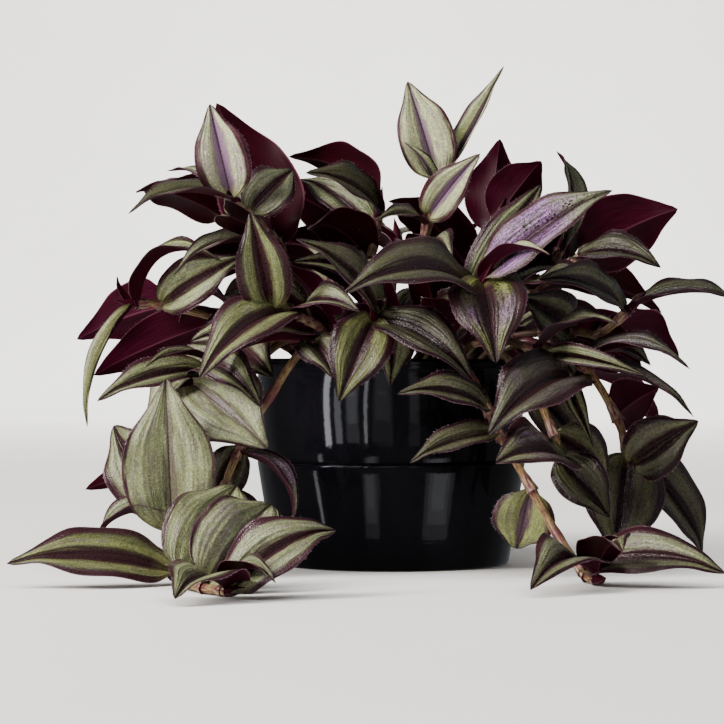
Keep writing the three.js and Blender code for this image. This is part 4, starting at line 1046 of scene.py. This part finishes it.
# The base is green, the tip plum, and the groove of the midrib dark.
for distance, stops, tone in (
    (along, [(0.0, 0.75), (0.16, 0.0)], "#8b8c55"),
    (along, [(0.90, 0.0), (1.0, 0.85)], "#3f1e2e"),
    (off_middle, [(0.0, 0.85), (0.035, 0.0)], "#2c1f1d"),
):
    here = add(tree, "ValToRGB", {"stops": stops}, {"Fac": distance})
    painted = add(tree, "Mix", {"data_type": "RGBA", "B": tone}, {"Factor": here, "A": painted})
# Painted shade and light: the colour is darkened by the leaf's dark level and scaled by its light level.
shade = add(tree, "Math", {"operation": "MULTIPLY", 1: 0.88}, {0: dark})
shaded = add(tree, "Mix", {**times, "B": (0.28, 0.23, 0.24, 1)}, {"Factor": shade, "A": painted})
rim_line = add(tree, "ValToRGB", {"stops": [(0.955, 0.0), (0.985, 0.6)]}, {"Fac": off_middle})
lit = add(tree, "VectorMath", {"operation": "SCALE"}, {0: shaded, "Scale": painted_light_and_youth})
rimmed = add(tree, "Mix", {"data_type": "RGBA", "B": "#643f50"}, {"Factor": rim_line, "A": lit})

# Relief, from the broadest to the finest: each half swells, the ribs run along it, then the veins and cells.
satin = add(tree, "MapRange", {"To Min": 0.22, "To Max": 0.42}, {"Value": cells.outputs["Color"]})
half_turn = add(tree, "Math", {"operation": "MULTIPLY", 1: math.pi}, {0: off_middle})
relief = add(tree, "Math", {"operation": "SINE"}, {0: half_turn})
relief = add(tree, "Bump", {"Strength": 1.0, "Distance": 1.6 * MM}, {"Height": relief})
relief = add(tree, "Bump", {"Strength": 0.7, "Distance": 2.0 * MM}, {"Height": ribs, "Normal": relief})
relief = add(tree, "Bump", {"Strength": 0.25, "Distance": 0.4 * MM}, {"Height": veins, "Normal": relief})
relief = add(tree, "Bump", {"Strength": 0.5, "Distance": 0.4 * MM}, {"Height": cells, "Normal": relief})
shader = add(
    tree,
    "BsdfPrincipled",
    {"IOR": 1.45, "Specular IOR Level": 0.58},
    {"Base Color": rimmed, "Roughness": satin, "Normal": relief},
)
add(tree, "OutputMaterial", {}, {"Surface": shader})

# Underside of the leaf: deep wine red to magenta all over, a little lighter along the raised midrib, with
# parallel veins and a smooth, slightly waxy gloss.
leaf_under, tree = new_material("tradescantia_leaf_underside")
_, _, chances, vein_place, off_middle = leaf_places(tree)
veins = streaks(tree, vein_place, 5.0, 60.0, 3.0)
magenta_stops = [(0.20, "#260210"), (0.52, "#35051a"), (0.85, "#4e0c2e")]
magenta = add(tree, "ValToRGB", {"stops": magenta_stops}, {"Fac": veins})
wine_stops = [(0.20, "#20020a"), (0.52, "#2b030e"), (0.85, "#3c0716")]
red_wine = add(tree, "ValToRGB", {"stops": wine_stops}, {"Fac": veins})
by_luck = {"Factor": chances.outputs["Green"], "A": magenta, "B": red_wine}
wine = add(tree, "Mix", {"data_type": "RGBA"}, by_luck)
rib_stops = [(0.0, 0.35), (0.05, 0.0), (0.95, 0.0), (0.985, 0.5)]
rib = add(tree, "ValToRGB", {"stops": rib_stops}, {"Fac": off_middle})
ribbed = add(tree, "Mix", {"data_type": "RGBA", "B": "#8d4a63"}, {"Factor": rib, "A": wine})
relief = add(tree, "Bump", {"Strength": 0.10, "Distance": 0.4 * MM}, {"Height": veins})
waxy = add(tree, "MapRange", {"To Min": 0.36, "To Max": 0.46}, {"Value": veins})
shader = add(
    tree,
    "BsdfPrincipled",
    {"IOR": 1.43, "Specular IOR Level": 0.10},
    {"Base Color": ribbed, "Roughness": waxy, "Normal": relief},
)
add(tree, "OutputMaterial", {}, {"Surface": shader})

# Margin of the leaf: half a millimetre of clear tissue that looks mauve where light comes through it.
margin_tones = [(0.35, "#432230"), (0.65, "#744c60")]
clear_tissue = {"Roughness": 0.4, "Specular IOR Level": 0.3}
leaf_margin = speckled("tradescantia_leaf_margin", 0.12, 2.0, margin_tones, clear_tissue)

# Stem skin: a watery green-pink shoot 4 mm thick, striped and flecked with purple, smooth and a little
# glossy. It turns purple where it swells at a node. From 102 mm off the pot's axis inwards it darkens to a
# dull brown: painted shade of the crown of leaves above it, on shoots that are also oldest there. Its strands
# are 4.5 mm long and 0.8 mm wide, and its flecks 1.4 mm.
OLD_WOOD_AND_SHADE = {"From Min": 102 * MM, "From Max": 78 * MM, "To Max": 0.8}
stem_skin, tree = new_material("tradescantia_stem_skin")
place = add(tree, "NewGeometry")
uv = add(tree, "UVMap", {"uv_map": "blade"})
coat = add(tree, "Attribute", {"attribute_name": "coat"})
at_node = add(tree, "SeparateColor", {}, {"Color": coat}).outputs["Red"]
strands = streaks(tree, uv, 0.22, 16.0, 4.0, 0.65)
skin_stops = [(0.36, "#4a2430"), (0.49, "#8a6848"), (0.62, "#a69b66")]
skin_tone = add(tree, "ValToRGB", {"stops": skin_stops}, {"Fac": strands})
flecks = add(tree, "TexNoise", {"Scale": 0.7 / MM, "Detail": 1.0}, {"Vector": place})
fleck = add(tree, "ValToRGB", {"stops": [(0.60, 0.0), (0.68, 0.6)]}, {"Fac": flecks})
flecked = add(tree, "Mix", {"data_type": "RGBA", "B": "#5a2138"}, {"Factor": fleck, "A": skin_tone})
level = add(tree, "VectorMath", {"operation": "MULTIPLY", 1: (1, 1, 0)}, {0: place})
from_axis = add(tree, "VectorMath", {"operation": "LENGTH"}, {0: level})
# Painted shade: towards the pot's axis, under the crown, the skin darkens to a dull brown.
old_wood_and_shade = add(tree, "MapRange", OLD_WOOD_AND_SHADE, {"Value": from_axis})
aged_and_shaded = add(tree, "Mix", {"data_type": "RGBA", "B": "#352a20"}, {"Factor": old_wood_and_shade, "A": flecked})
noded = add(tree, "Mix", {"data_type": "RGBA", "B": "#64203c"}, {"Factor": at_node, "A": aged_and_shaded})
relief = add(tree, "Bump", {"Strength": 0.3, "Distance": 0.3 * MM}, {"Height": strands})
shader = add(tree, "BsdfPrincipled", {"Roughness": 0.36, "IOR": 1.4}, {"Base Color": noded, "Normal": relief})
add(tree, "OutputMaterial", {}, {"Surface": shader})

# Sheath: the thin papery foot of each leaf, wrapped once round the stem over the node, pale with purple
# stripes and a fringe of soft white hairs 1 to 2 mm long at its mouth.
sheath_skin, tree = new_material("tradescantia_leaf_sheath")
uv = add(tree, "UVMap", {"uv_map": "blade"})
stripes = streaks(tree, uv, 0.2, 14.0, 2.0)
sheath_stops = [(0.38, "#5b2238"), (0.50, "#8c6258"), (0.64, "#a8a078")]
sheath_tone = add(tree, "ValToRGB", {"stops": sheath_stops}, {"Fac": stripes})
shader = add(tree, "BsdfPrincipled", {"Roughness": 0.45, "IOR": 1.4}, {"Base Color": sheath_tone})
add(tree, "OutputMaterial", {}, {"Surface": shader})

# Soft white plant hairs of the margins and the sheaths' mouths, matt, with a faint mauve in their shade.
hair_tones = [(0.3, "#b7a8ab"), (0.7, "#e4dcda")]
soft_hair = speckled("white_plant_hairs", 0.4, 2.0, hair_tones, {"Roughness": 0.5})

PLANT_MATERIALS = [leaf_upper, leaf_under, leaf_margin, stem_skin, sheath_skin, soft_hair]
UPPER, UNDER, MARGIN, SKIN, SHEATH, HAIR = range(6)

# The form of a leaf. A pair says where along the leaf something begins and over what stretch it grows, as
# shares of the leaf's length. The waves of the margin and the hook of the tip go by its width and length.
LEAF_ROWS = 32
LEAF_COLUMNS = 16
ROW_SPREAD = 1.15
FIRST_ROW = 0.004
LEAF_THICKNESS = 0.5
MARGIN_THINNING = 0.5
TIP_THICKNESS = 0.4
PUFF = 0.30
CLASP = (0, 0.14)
CLASP_FOLD = 30
TIP_NARROWING = 0.22
TIP_NARROWS = (0.62, 0.24)
TIP_CLOSES = (0.93, 0.07)
TIP_HOOK = 0.035
HOOK_BEGINS = (0.8, 0.2)
WAVE = 0.035
WAVES = 2.3
WAVES_BEGIN = (0, 0.2)
WAVES_END = (0, 0.15)
PHASE_TURN = 9
SIDES_APART = 2.1
LEAST_LIFT = 0.4
COAT_SPREAD = 0.12
CHANCE_SPREAD = 0.1
MARGIN_HAIRS = 16
HAIRS_FROM = 0.05
HAIRS_OVER = 0.75
HAIR_LENGTH = (0.7, 1.3)
HAIR_SPREAD = (-0.3, 0.3)
HAIR_RADIUS = 0.05
HAIR_ROOT = 0.2
HAIR_CORNERS = (0, 2.09, 4.19)
OFF_SURFACE = 0.1

# The form of a shoot: rounder at its nodes, and closed by a folded bud. A sheath's points lie so many
# millimetres before or past its node.
TUBE_SIDES = 14
TUBE_END = 0.6
STEM_STEP = 2.2
NODE_REACH = 3.2
NODE_SWELL = 0.22
NODE_PURPLE = 0.85
BETWEEN_NODES = 0.90
TIP_TAPER = 12
TIP_SHARE = 0.35
BUD_RADII = (1.6, 2.2, 2.4, 2.4, 2.3, 2.0, 1.6, 1.1, 0.6, 0.12)
BUD_STEP = 1.7
BUD_SUNK = 3
BUD_CURL = 0.03
SHEATH_PLACES = (-5.5, -4.0, -2.0, 0.0, 1.6)
SHEATH_WIDTHS = (0.93, 1.10, 1.16)
SHEATH_TONE = 0.3
MOUTH_OPENS = 8
MOUTH_HAIR_LENGTH = (1.0, 1.8)
PLANT_SHARP_EDGE = 55


class Growing:
    """The points, faces and colourings of one stem with its leaves, gathered in millimetres."""

    def __init__(self):
        self.verts, self.faces, self.kinds = [], [], []
        self.uvs, self.coats, self.chances = [], [], []

    def point(self, place, uv, coat, chance):
        self.verts.append(place)
        self.uvs.append(uv)
        self.coats.append(coat)
        self.chances.append(chance)
        return len(self.verts) - 1

    def face(self, corners, kind):
        self.faces.append(corners)
        self.kinds.append(kind)


def smooth_step(x, begins, stretch):
    """Grows from 0 to 1 as x goes on from where it begins, over its stretch."""
    x = min(max((x - begins) / stretch, 0.0), 1.0)
    return x * x * (3 - 2 * x)


def leaf_point(leaf, s, t, height, phase):
    """A point of a leaf at share s along it and t across it from -1 to 1, raised by height."""
    slope = leaf["bow"] * 4 * (1 - 2 * s)
    ahead = (leaf["along"] + leaf["out"] * slope).normalized()
    up = leaf["across"].cross(ahead)
    narrowed = 1 - TIP_NARROWING * smooth_step(s, *TIP_NARROWS) * (1 - smooth_step(s, *TIP_CLOSES))
    half = half_width(leaf["width"], s) * narrowed if 0 < s < 1 else 0
    clasp = 1 - smooth_step(s, *CLASP)
    fold = math.radians(leaf["fold"] + CLASP_FOLD * clasp)
    rise = abs(t) * math.sin(fold) + PUFF * (abs(t) - t * t) * (1 - clasp)
    turn = 2 * math.pi * WAVES * s + phase * PHASE_TURN + (SIDES_APART if t > 0 else 0)
    wave = WAVE * leaf["width"] * abs(t) ** 3 * math.sin(turn)
    wave *= smooth_step(s, *WAVES_BEGIN) * smooth_step(1 - s, *WAVES_END)
    hook = -TIP_HOOK * leaf["length"] * smooth_step(s, *HOOK_BEGINS)
    spot = (
        leaf["base"]
        + leaf["along"] * leaf["length"] * s
        + leaf["out"] * (leaf["length"] * leaf["bow"] * 4 * s * (1 - s) + hook)
        + leaf["across"] * half * t * math.cos(fold)
        + up * (half * rise + wave + height)
    )
    spot.z = max(spot.z, LEAST_LIFT + height)
    return spot


def varied(draw, level, spread):
    """A level between 0 and 1 that differs a little from leaf to leaf."""
    return min(max(level + between(draw, -spread, spread), 0), 1)


def grow_leaf(plant, leaf, draw):
    """A leaf with an upper side, an underside and a margin between them, and hairs along the margin."""
    phase = next(draw)
    silver, purple, dark, lime, middle, painted_light_and_youth = COATS[leaf["coat"]]
    coat = tuple(varied(draw, level, COAT_SPREAD) for level in (silver, purple, dark)) + (1,)
    lime = varied(draw, lime, CHANCE_SPREAD)
    chance = (lime, next(draw), middle + between(draw, -CHANCE_SPREAD, CHANCE_SPREAD), painted_light_and_youth)
    sides = []
    for height in (LEAF_THICKNESS / 2, -LEAF_THICKNESS / 2):
        grid = []
        for i in range(LEAF_ROWS):
            s = FIRST_ROW + (1 - FIRST_ROW) * (i / LEAF_ROWS) ** ROW_SPREAD
            row = []
            for j in range(LEAF_COLUMNS + 1):
                t = 2 * j / LEAF_COLUMNS - 1
                place = leaf_point(leaf, s, t, height * (1 - MARGIN_THINNING * t * t), phase)
                row.append(plant.point(place, (s, 0.5 + t / 2), coat, chance))
            grid.append(row)
        tip_place = leaf_point(leaf, 1, 0, height * TIP_THICKNESS, phase)
        tip = plant.point(tip_place, (1, 0.5), coat, chance)
        sides.append((grid, tip))
    for (grid, tip), kind, way in zip(sides, (UPPER, UNDER), (1, -1)):
        for low, high in zip(grid, grid[1:]):
            for j in range(LEAF_COLUMNS):
                plant.face((low[j], low[j + 1], high[j + 1], high[j])[::way], kind)
        for j in range(LEAF_COLUMNS):
            plant.face((grid[-1][j], grid[-1][j + 1], tip)[::way], kind)
    (upper, upper_tip), (under, under_tip) = sides
    for column, way in ((0, 1), (LEAF_COLUMNS, -1)):
        above = [row[column] for row in upper] + [upper_tip]
        below = [row[column] for row in under] + [under_tip]
        for i in range(LEAF_ROWS):
            plant.face((above[i], above[i + 1], below[i + 1], below[i])[::way], MARGIN)
    plant.face(tuple(upper[0] + under[0][::-1]), MARGIN)
    for side in (-1, 1):
        for hair in range(MARGIN_HAIRS):
            s = HAIRS_FROM + HAIRS_OVER * (hair + next(draw)) / MARGIN_HAIRS
            root = leaf_point(leaf, s, side, 0, phase)
            outward = leaf["across"] * side + leaf["along"] * 0.5 + leaf["out"] * between(draw, *HAIR_SPREAD)
            grow_hair(plant, root, outward.normalized(), between(draw, *HAIR_LENGTH))


def grow_hair(plant, root, outward, length):
    """One soft hair: a three-sided point, 0.1 mm across at its foot."""
    side = outward.orthogonal().normalized()
    other = outward.cross(side)
    grey = (0.5, 0.5, 0.5, 1)
    ring = []
    for angle in HAIR_CORNERS:
        place = root + side * HAIR_RADIUS * math.cos(angle) + other * HAIR_RADIUS * math.sin(angle)
        ring.append(plant.point(place - outward * HAIR_ROOT, (0, 0), grey, grey))
    end = root + outward * length
    tip = plant.point(Vector((end.x, end.y, max(end.z, OFF_SURFACE))), (0, 0), grey, grey)
    for i in range(3):
        plant.face((ring[i], ring[(i + 1) % 3], tip), HAIR)


def grow_tube(plant, places, radii, kind, tones, closed=True):
    """A tube through places with a radius at each. Its frame is carried along without twisting."""
    side = (places[1] - places[0]).normalized().orthogonal().normalized()
    chance = (0.5, 0.5, 0, 1)
    rings = []
    travelled = 0.0
    for i, place in enumerate(places):
        if i:
            travelled += (place - places[i - 1]).length
        ahead = (places[min(i + 1, len(places) - 1)] - places[max(i - 1, 0)]).normalized()
        side = (side - ahead * side.dot(ahead)).normalized()
        other = ahead.cross(side)
        ring = []
        for j in range(TUBE_SIDES + 1):
            angle = 2 * math.pi * j / TUBE_SIDES
            spot = place + (side * math.cos(angle) + other * math.sin(angle)) * radii[i]
            spot.z = max(spot.z, OFF_SURFACE)
            ring.append(plant.point(spot, (travelled, j / TUBE_SIDES), (tones[i], 0.5, 0.5, 1), chance))
        rings.append(ring)
    for low, high in zip(rings, rings[1:]):
        for j in range(TUBE_SIDES):
            plant.face((low[j], low[j + 1], high[j + 1], high[j]), kind)
    if closed:
        end_place = places[-1] + ahead * radii[-1] * TUBE_END
        end = plant.point(end_place, (travelled, 0.5), (1, 0.5, 0.5, 1), chance)
        for j in range(TUBE_SIDES):
            plant.face((ring[j], ring[j + 1], end), kind)
    return ring, ahead


def grow_stem(plant, stem, leaves, draw):
    """The shoot with a swelling at each node, its bud, and a hairy sheath where each leaf clasps it.

    A broad leaf's sheath opens wider, and near the shoot's end it stays shut.
    """
    points, length = stem["course"], stem["length"]
    steps = int(length / STEM_STEP)
    node_shares = [(at + 2) / (len(points) - 1) for at in range(1, len(points) - 2)]
    node_shares += [leaf["share"] for leaf in leaves if leaf["node"] != int(leaf["node"])]
    places, radii, tones = [], [], []
    for i in range(steps + 1):
        share = i / steps
        near = min(abs(share - node_share) * length for node_share in node_shares)
        swell = math.exp(-((near / NODE_REACH) ** 2))
        taper = smooth_step((1 - share) * length, 0, TIP_TAPER)
        places.append(along_course(points, share))
        thickness = (BETWEEN_NODES + NODE_SWELL * swell) * (TIP_SHARE + (1 - TIP_SHARE) * taper)
        radii.append(STEM_RADIUS * thickness)
        tones.append(NODE_PURPLE * swell * taper)
    grow_tube(plant, places, radii, SKIN, tones)
    onward = (points[-1] - along_course(points, 1 - 2 / length)).normalized()
    bud = []
    for step in range(len(BUD_RADII)):
        curl = Vector((0, 0, BUD_CURL * step**2))
        bud.append(points[-1] + onward * (step - BUD_SUNK) * BUD_STEP + curl)
    grow_tube(plant, bud, BUD_RADII, UNDER, [SHEATH_TONE] * len(bud))
    for leaf in leaves:
        shares = [leaf["share"] + place / length for place in SHEATH_PLACES]
        past_end = max(shares[-1] - 1, 0)
        spots = [along_course(points, share - past_end) for share in shares]
        reach = min(0.9 + leaf["width"] / 60, 1.5)
        open_mouth = smooth_step((1 - leaf["share"]) * length, 0, MOUTH_OPENS)
        flare = (1.0 + 0.25 * reach * open_mouth, 1.05 + 0.32 * reach * open_mouth)
        widths = [STEM_RADIUS * width for width in SHEATH_WIDTHS + flare]
        ring, ahead = grow_tube(plant, spots, widths, SHEATH, [SHEATH_TONE] * len(spots), closed=False)
        mouth = [Vector(plant.verts[corner]) for corner in ring]
        for here, after in zip(mouth, mouth[1:]):
            root = here.lerp(after, next(draw))
            outward = (root - spots[-1]).normalized() * 0.6 + ahead
            grow_hair(plant, root, outward.normalized(), between(draw, *MOUTH_HAIR_LENGTH))


leaf_draw = draws(23)
placed_leaves = 0
for stem in stems:
    stem["course"] = course(stem)
    chords = [along_course(stem["course"], i / 200) for i in range(201)]
    stem["length"] = sum((b - a).length for a, b in zip(chords, chords[1:]))
    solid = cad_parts[stem["name"]]
    corners = KDTree(len(solid.data.vertices))
    for at, vertex in enumerate(solid.data.vertices):
        corners.insert(vertex.co, at)
    corners.balance()
    leaves = [grown for grown in (as_grown(stem, leaf, corners) for leaf in stem["blades"]) if grown]
    placed_leaves += len(leaves)
    plant = Growing()
    grow_stem(plant, stem, leaves, leaf_draw)
    for leaf in leaves:
        grow_leaf(plant, leaf, leaf_draw)
    verts = [tuple(place * MM) for place in plant.verts]
    piece = new_piece(f"leafy_{stem['name']}", verts, plant.faces, PLANT_MATERIALS)
    mesh = piece.data
    mesh.polygons.foreach_set("material_index", plant.kinds)
    mesh.polygons.foreach_set("use_smooth", [True] * len(plant.faces))
    corner_at = np.empty(len(mesh.loops), dtype=np.int32)
    mesh.loops.foreach_get("vertex_index", corner_at)
    layer = mesh.uv_layers.new(name="blade")
    layer.data.foreach_set("uv", np.array(plant.uvs, dtype=np.float32)[corner_at].ravel())
    for label, levels in (("coat", plant.coats), ("chance", plant.chances)):
        marks = mesh.attributes.new(label, "FLOAT_COLOR", "POINT")
        marks.data.foreach_set("color", np.array(levels, dtype=np.float32).ravel())
    mesh.update()
    mesh.set_sharp_from_angle(angle=math.radians(PLANT_SHARP_EDGE))
    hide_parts(stem["name"])
    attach(piece, "root")
print("leaves placed", placed_leaves)


# Floor and backdrop: one pale matt sheet that curves up behind the plant, so that no line crosses the view.
# Its sizes are in metres, and it is a little cloudy over 333 mm.
SHEET_HALF_WIDTH = 9.0
SHEET_FRONT = -9.0
SHEET_TOP = 5.0
CURVE_FRONT = 3.0
CURVE_RADIUS = 0.8
CURVE_STEPS = 16
paper_tones = [(0.3, "#dcdad7"), (0.7, "#e2e0dd")]
matt = {"Roughness": 0.9, "Specular IOR Level": 0.2}
paper = speckled("matt_seamless_paper", 0.003, 2.0, paper_tones, matt)
sweep = [(SHEET_FRONT, 0.0), (CURVE_FRONT, 0.0)]
for step in range(1, CURVE_STEPS + 1):
    turn = math.pi / 2 * step / CURVE_STEPS
    sweep.append((CURVE_FRONT + CURVE_RADIUS * math.sin(turn), CURVE_RADIUS - CURVE_RADIUS * math.cos(turn)))
sweep.append((CURVE_FRONT + CURVE_RADIUS, SHEET_TOP))
verts = [(x, y, z) for y, z in sweep for x in (-SHEET_HALF_WIDTH, SHEET_HALF_WIDTH)]
faces = [(2 * i, 2 * i + 1, 2 * i + 3, 2 * i + 2) for i in range(len(sweep) - 1)]
backdrop = new_piece("floor_and_backdrop", verts, faces, [paper])
backdrop.data.polygons.foreach_set("use_smooth", [True] * len(faces))
backdrop.visible_glossy = False


# Light: a big soft window to the upper left and a weaker one to the right. The backdrop and the floor have
# lamps of their own. Narrow lamps close in front act on the black glaze alone, where they draw the upright
# reflections of a window's bars. Gloss mirrors a dim room and not the pale paper, which would veil it grey.
def hung_lamp(data, spot, target, lit_pieces):
    """Hangs a light at a spot, facing a target. It acts on the pieces named, or on everything if none is."""
    lamp = bpy.data.objects.new(data.name, data)
    bpy.context.collection.objects.link(lamp)
    lamp.location = spot
    lamp.rotation_euler = (Vector(target) - Vector(spot)).to_track_quat("-Z", "Y").to_euler()
    if lit_pieces:
        chosen = bpy.data.collections.new(f"lit_by_{data.name}")
        for piece in lit_pieces:
            chosen.objects.link(piece)
        lamp.light_linking.receiver_collection = chosen
    return lamp


def soft_light(name, spot, target, width, height, power, colour, lit_pieces=()):
    """An oblong lamp: its width and height are in metres and its power in watts."""
    data = bpy.data.lights.new(name, "AREA")
    data.shape = "RECTANGLE"
    data.size = width
    data.size_y = height
    data.energy = power
    data.color = linear(colour)[:3]
    return hung_lamp(data, spot, target, lit_pieces)


soft_light("window_left", (-1.35, -0.80, 1.15), (0, 0, 0.1), 0.55, 1.1, 65, "#fffaf4")
soft_light("window_right", (1.5, -0.7, 0.8), (0, 0, 0.1), 0.8, 1.0, 1.2, "#f2f6ff")
soft_light("wash", (0.0, 2.5, 2.1), (0, 3.8, 0.65), 1.6, 0.6, 104, "#ffffff")
sky = bpy.data.lights.new("open_sky", "SUN")
sky.energy = 4.2
sky.angle = 1.2
hung_lamp(sky, (0.0, -1.0, 2.3), (0, 0, 0), [backdrop])
soft_light("lip_light", (-0.1, -0.6, 0.9), (0, 0, 0.05), 0.8, 0.3, 3.0, "#ffffff", [bowl, pot])

# Each bar stands at (x, y) and faces the pot's axis: its width, the heights it spans, and its power in watts.
# A broad bar is three lamps, one before the other, each narrower and shorter, so that its edges fade.
BROAD_BAR = 0.01
BROAD_BAR_BOOST = 1.25
BAR_LAYERS = [(1, 0), (0.72, 0.2), (0.45, 0.4)]
LAYER_STEP = 0.006
window_bars = [
    (-0.0562, -0.0714, 0.0065, 0.049, 0.120, 0.042),
    (-0.0499, -0.0811, 0.0070, 0.050, 0.118, 0.0135),
    (-0.0376, -0.0884, 0.0130, 0.050, 0.118, 0.0167),
    (-0.0252, -0.0932, 0.0034, 0.050, 0.118, 0.010),
    (-0.0096, -0.0965, 0.0185, 0.050, 0.118, 0.0080),
    (0.0215, -0.0943, 0.0116, 0.050, 0.118, 0.0045),
    (-0.0200, -0.0900, 0.0150, 0.001, 0.042, 0.006),
    (0.0420, -0.0800, 0.0280, 0.001, 0.042, 0.014),
    (-0.0680, -0.0660, 0.0040, 0.001, 0.042, 0.005),
]
for at, (x, y, width, low, high, power) in enumerate(window_bars, 1):
    layers = BAR_LAYERS if width > BROAD_BAR else BAR_LAYERS[:1]
    boost = BROAD_BAR_BOOST if width > BROAD_BAR else 1
    for layer, (narrowed, raised) in enumerate(layers):
        foot_height = low + (high - low) * raised
        middle_height = (foot_height + high) / 2
        nearer = 1 - LAYER_STEP * layer
        share = narrowed * (1 - raised) / len(layers)
        bar = soft_light(
            f"window_bar_{at}_{layer + 1}",
            (x * nearer, y * nearer, middle_height),
            (0, 0, middle_height),
            width * narrowed,
            high - foot_height,
            power * share * boost,
            "#f6f8ff",
            [bowl, pot],
        )
        bar.visible_camera = False

# The room's air gives a little light all round, and more of it to what gloss mirrors.
ROOM_AIR = 0.025
ROOM_MIRRORED = 0.24
world = bpy.data.worlds.new("soft_room")
bpy.context.scene.world = world
world.use_nodes = True
tree = world.node_tree
tree.nodes.clear()
mirrored = add(tree, "LightPath").outputs["Is Glossy Ray"]
glow = add(tree, "Math", {"operation": "MULTIPLY_ADD", 1: ROOM_MIRRORED, 2: ROOM_AIR}, {0: mirrored})
air = add(tree, "Background", {"Color": "#dfe3e8"}, {"Strength": glow})
add(tree, "OutputWorld", {}, {"Surface": air})

# Camera: level with the pot's rim, 1.3 m in front of the plant, with a long lens.
LENS = 134.7
SENSOR_WIDTH = 36.0
TILT = 0.25
camera_data = bpy.data.cameras.new("camera")
camera_data.sensor_width = SENSOR_WIDTH
camera_data.lens = LENS
camera_data.clip_start = 0.05
camera = bpy.data.objects.new("camera", camera_data)
bpy.context.collection.objects.link(camera)
camera.location = (EYE_X * MM, -EYE_DISTANCE * MM, EYE_Z * MM)
camera.rotation_euler = (math.radians(90 - TILT), 0, 0)
bpy.context.scene.camera = camera
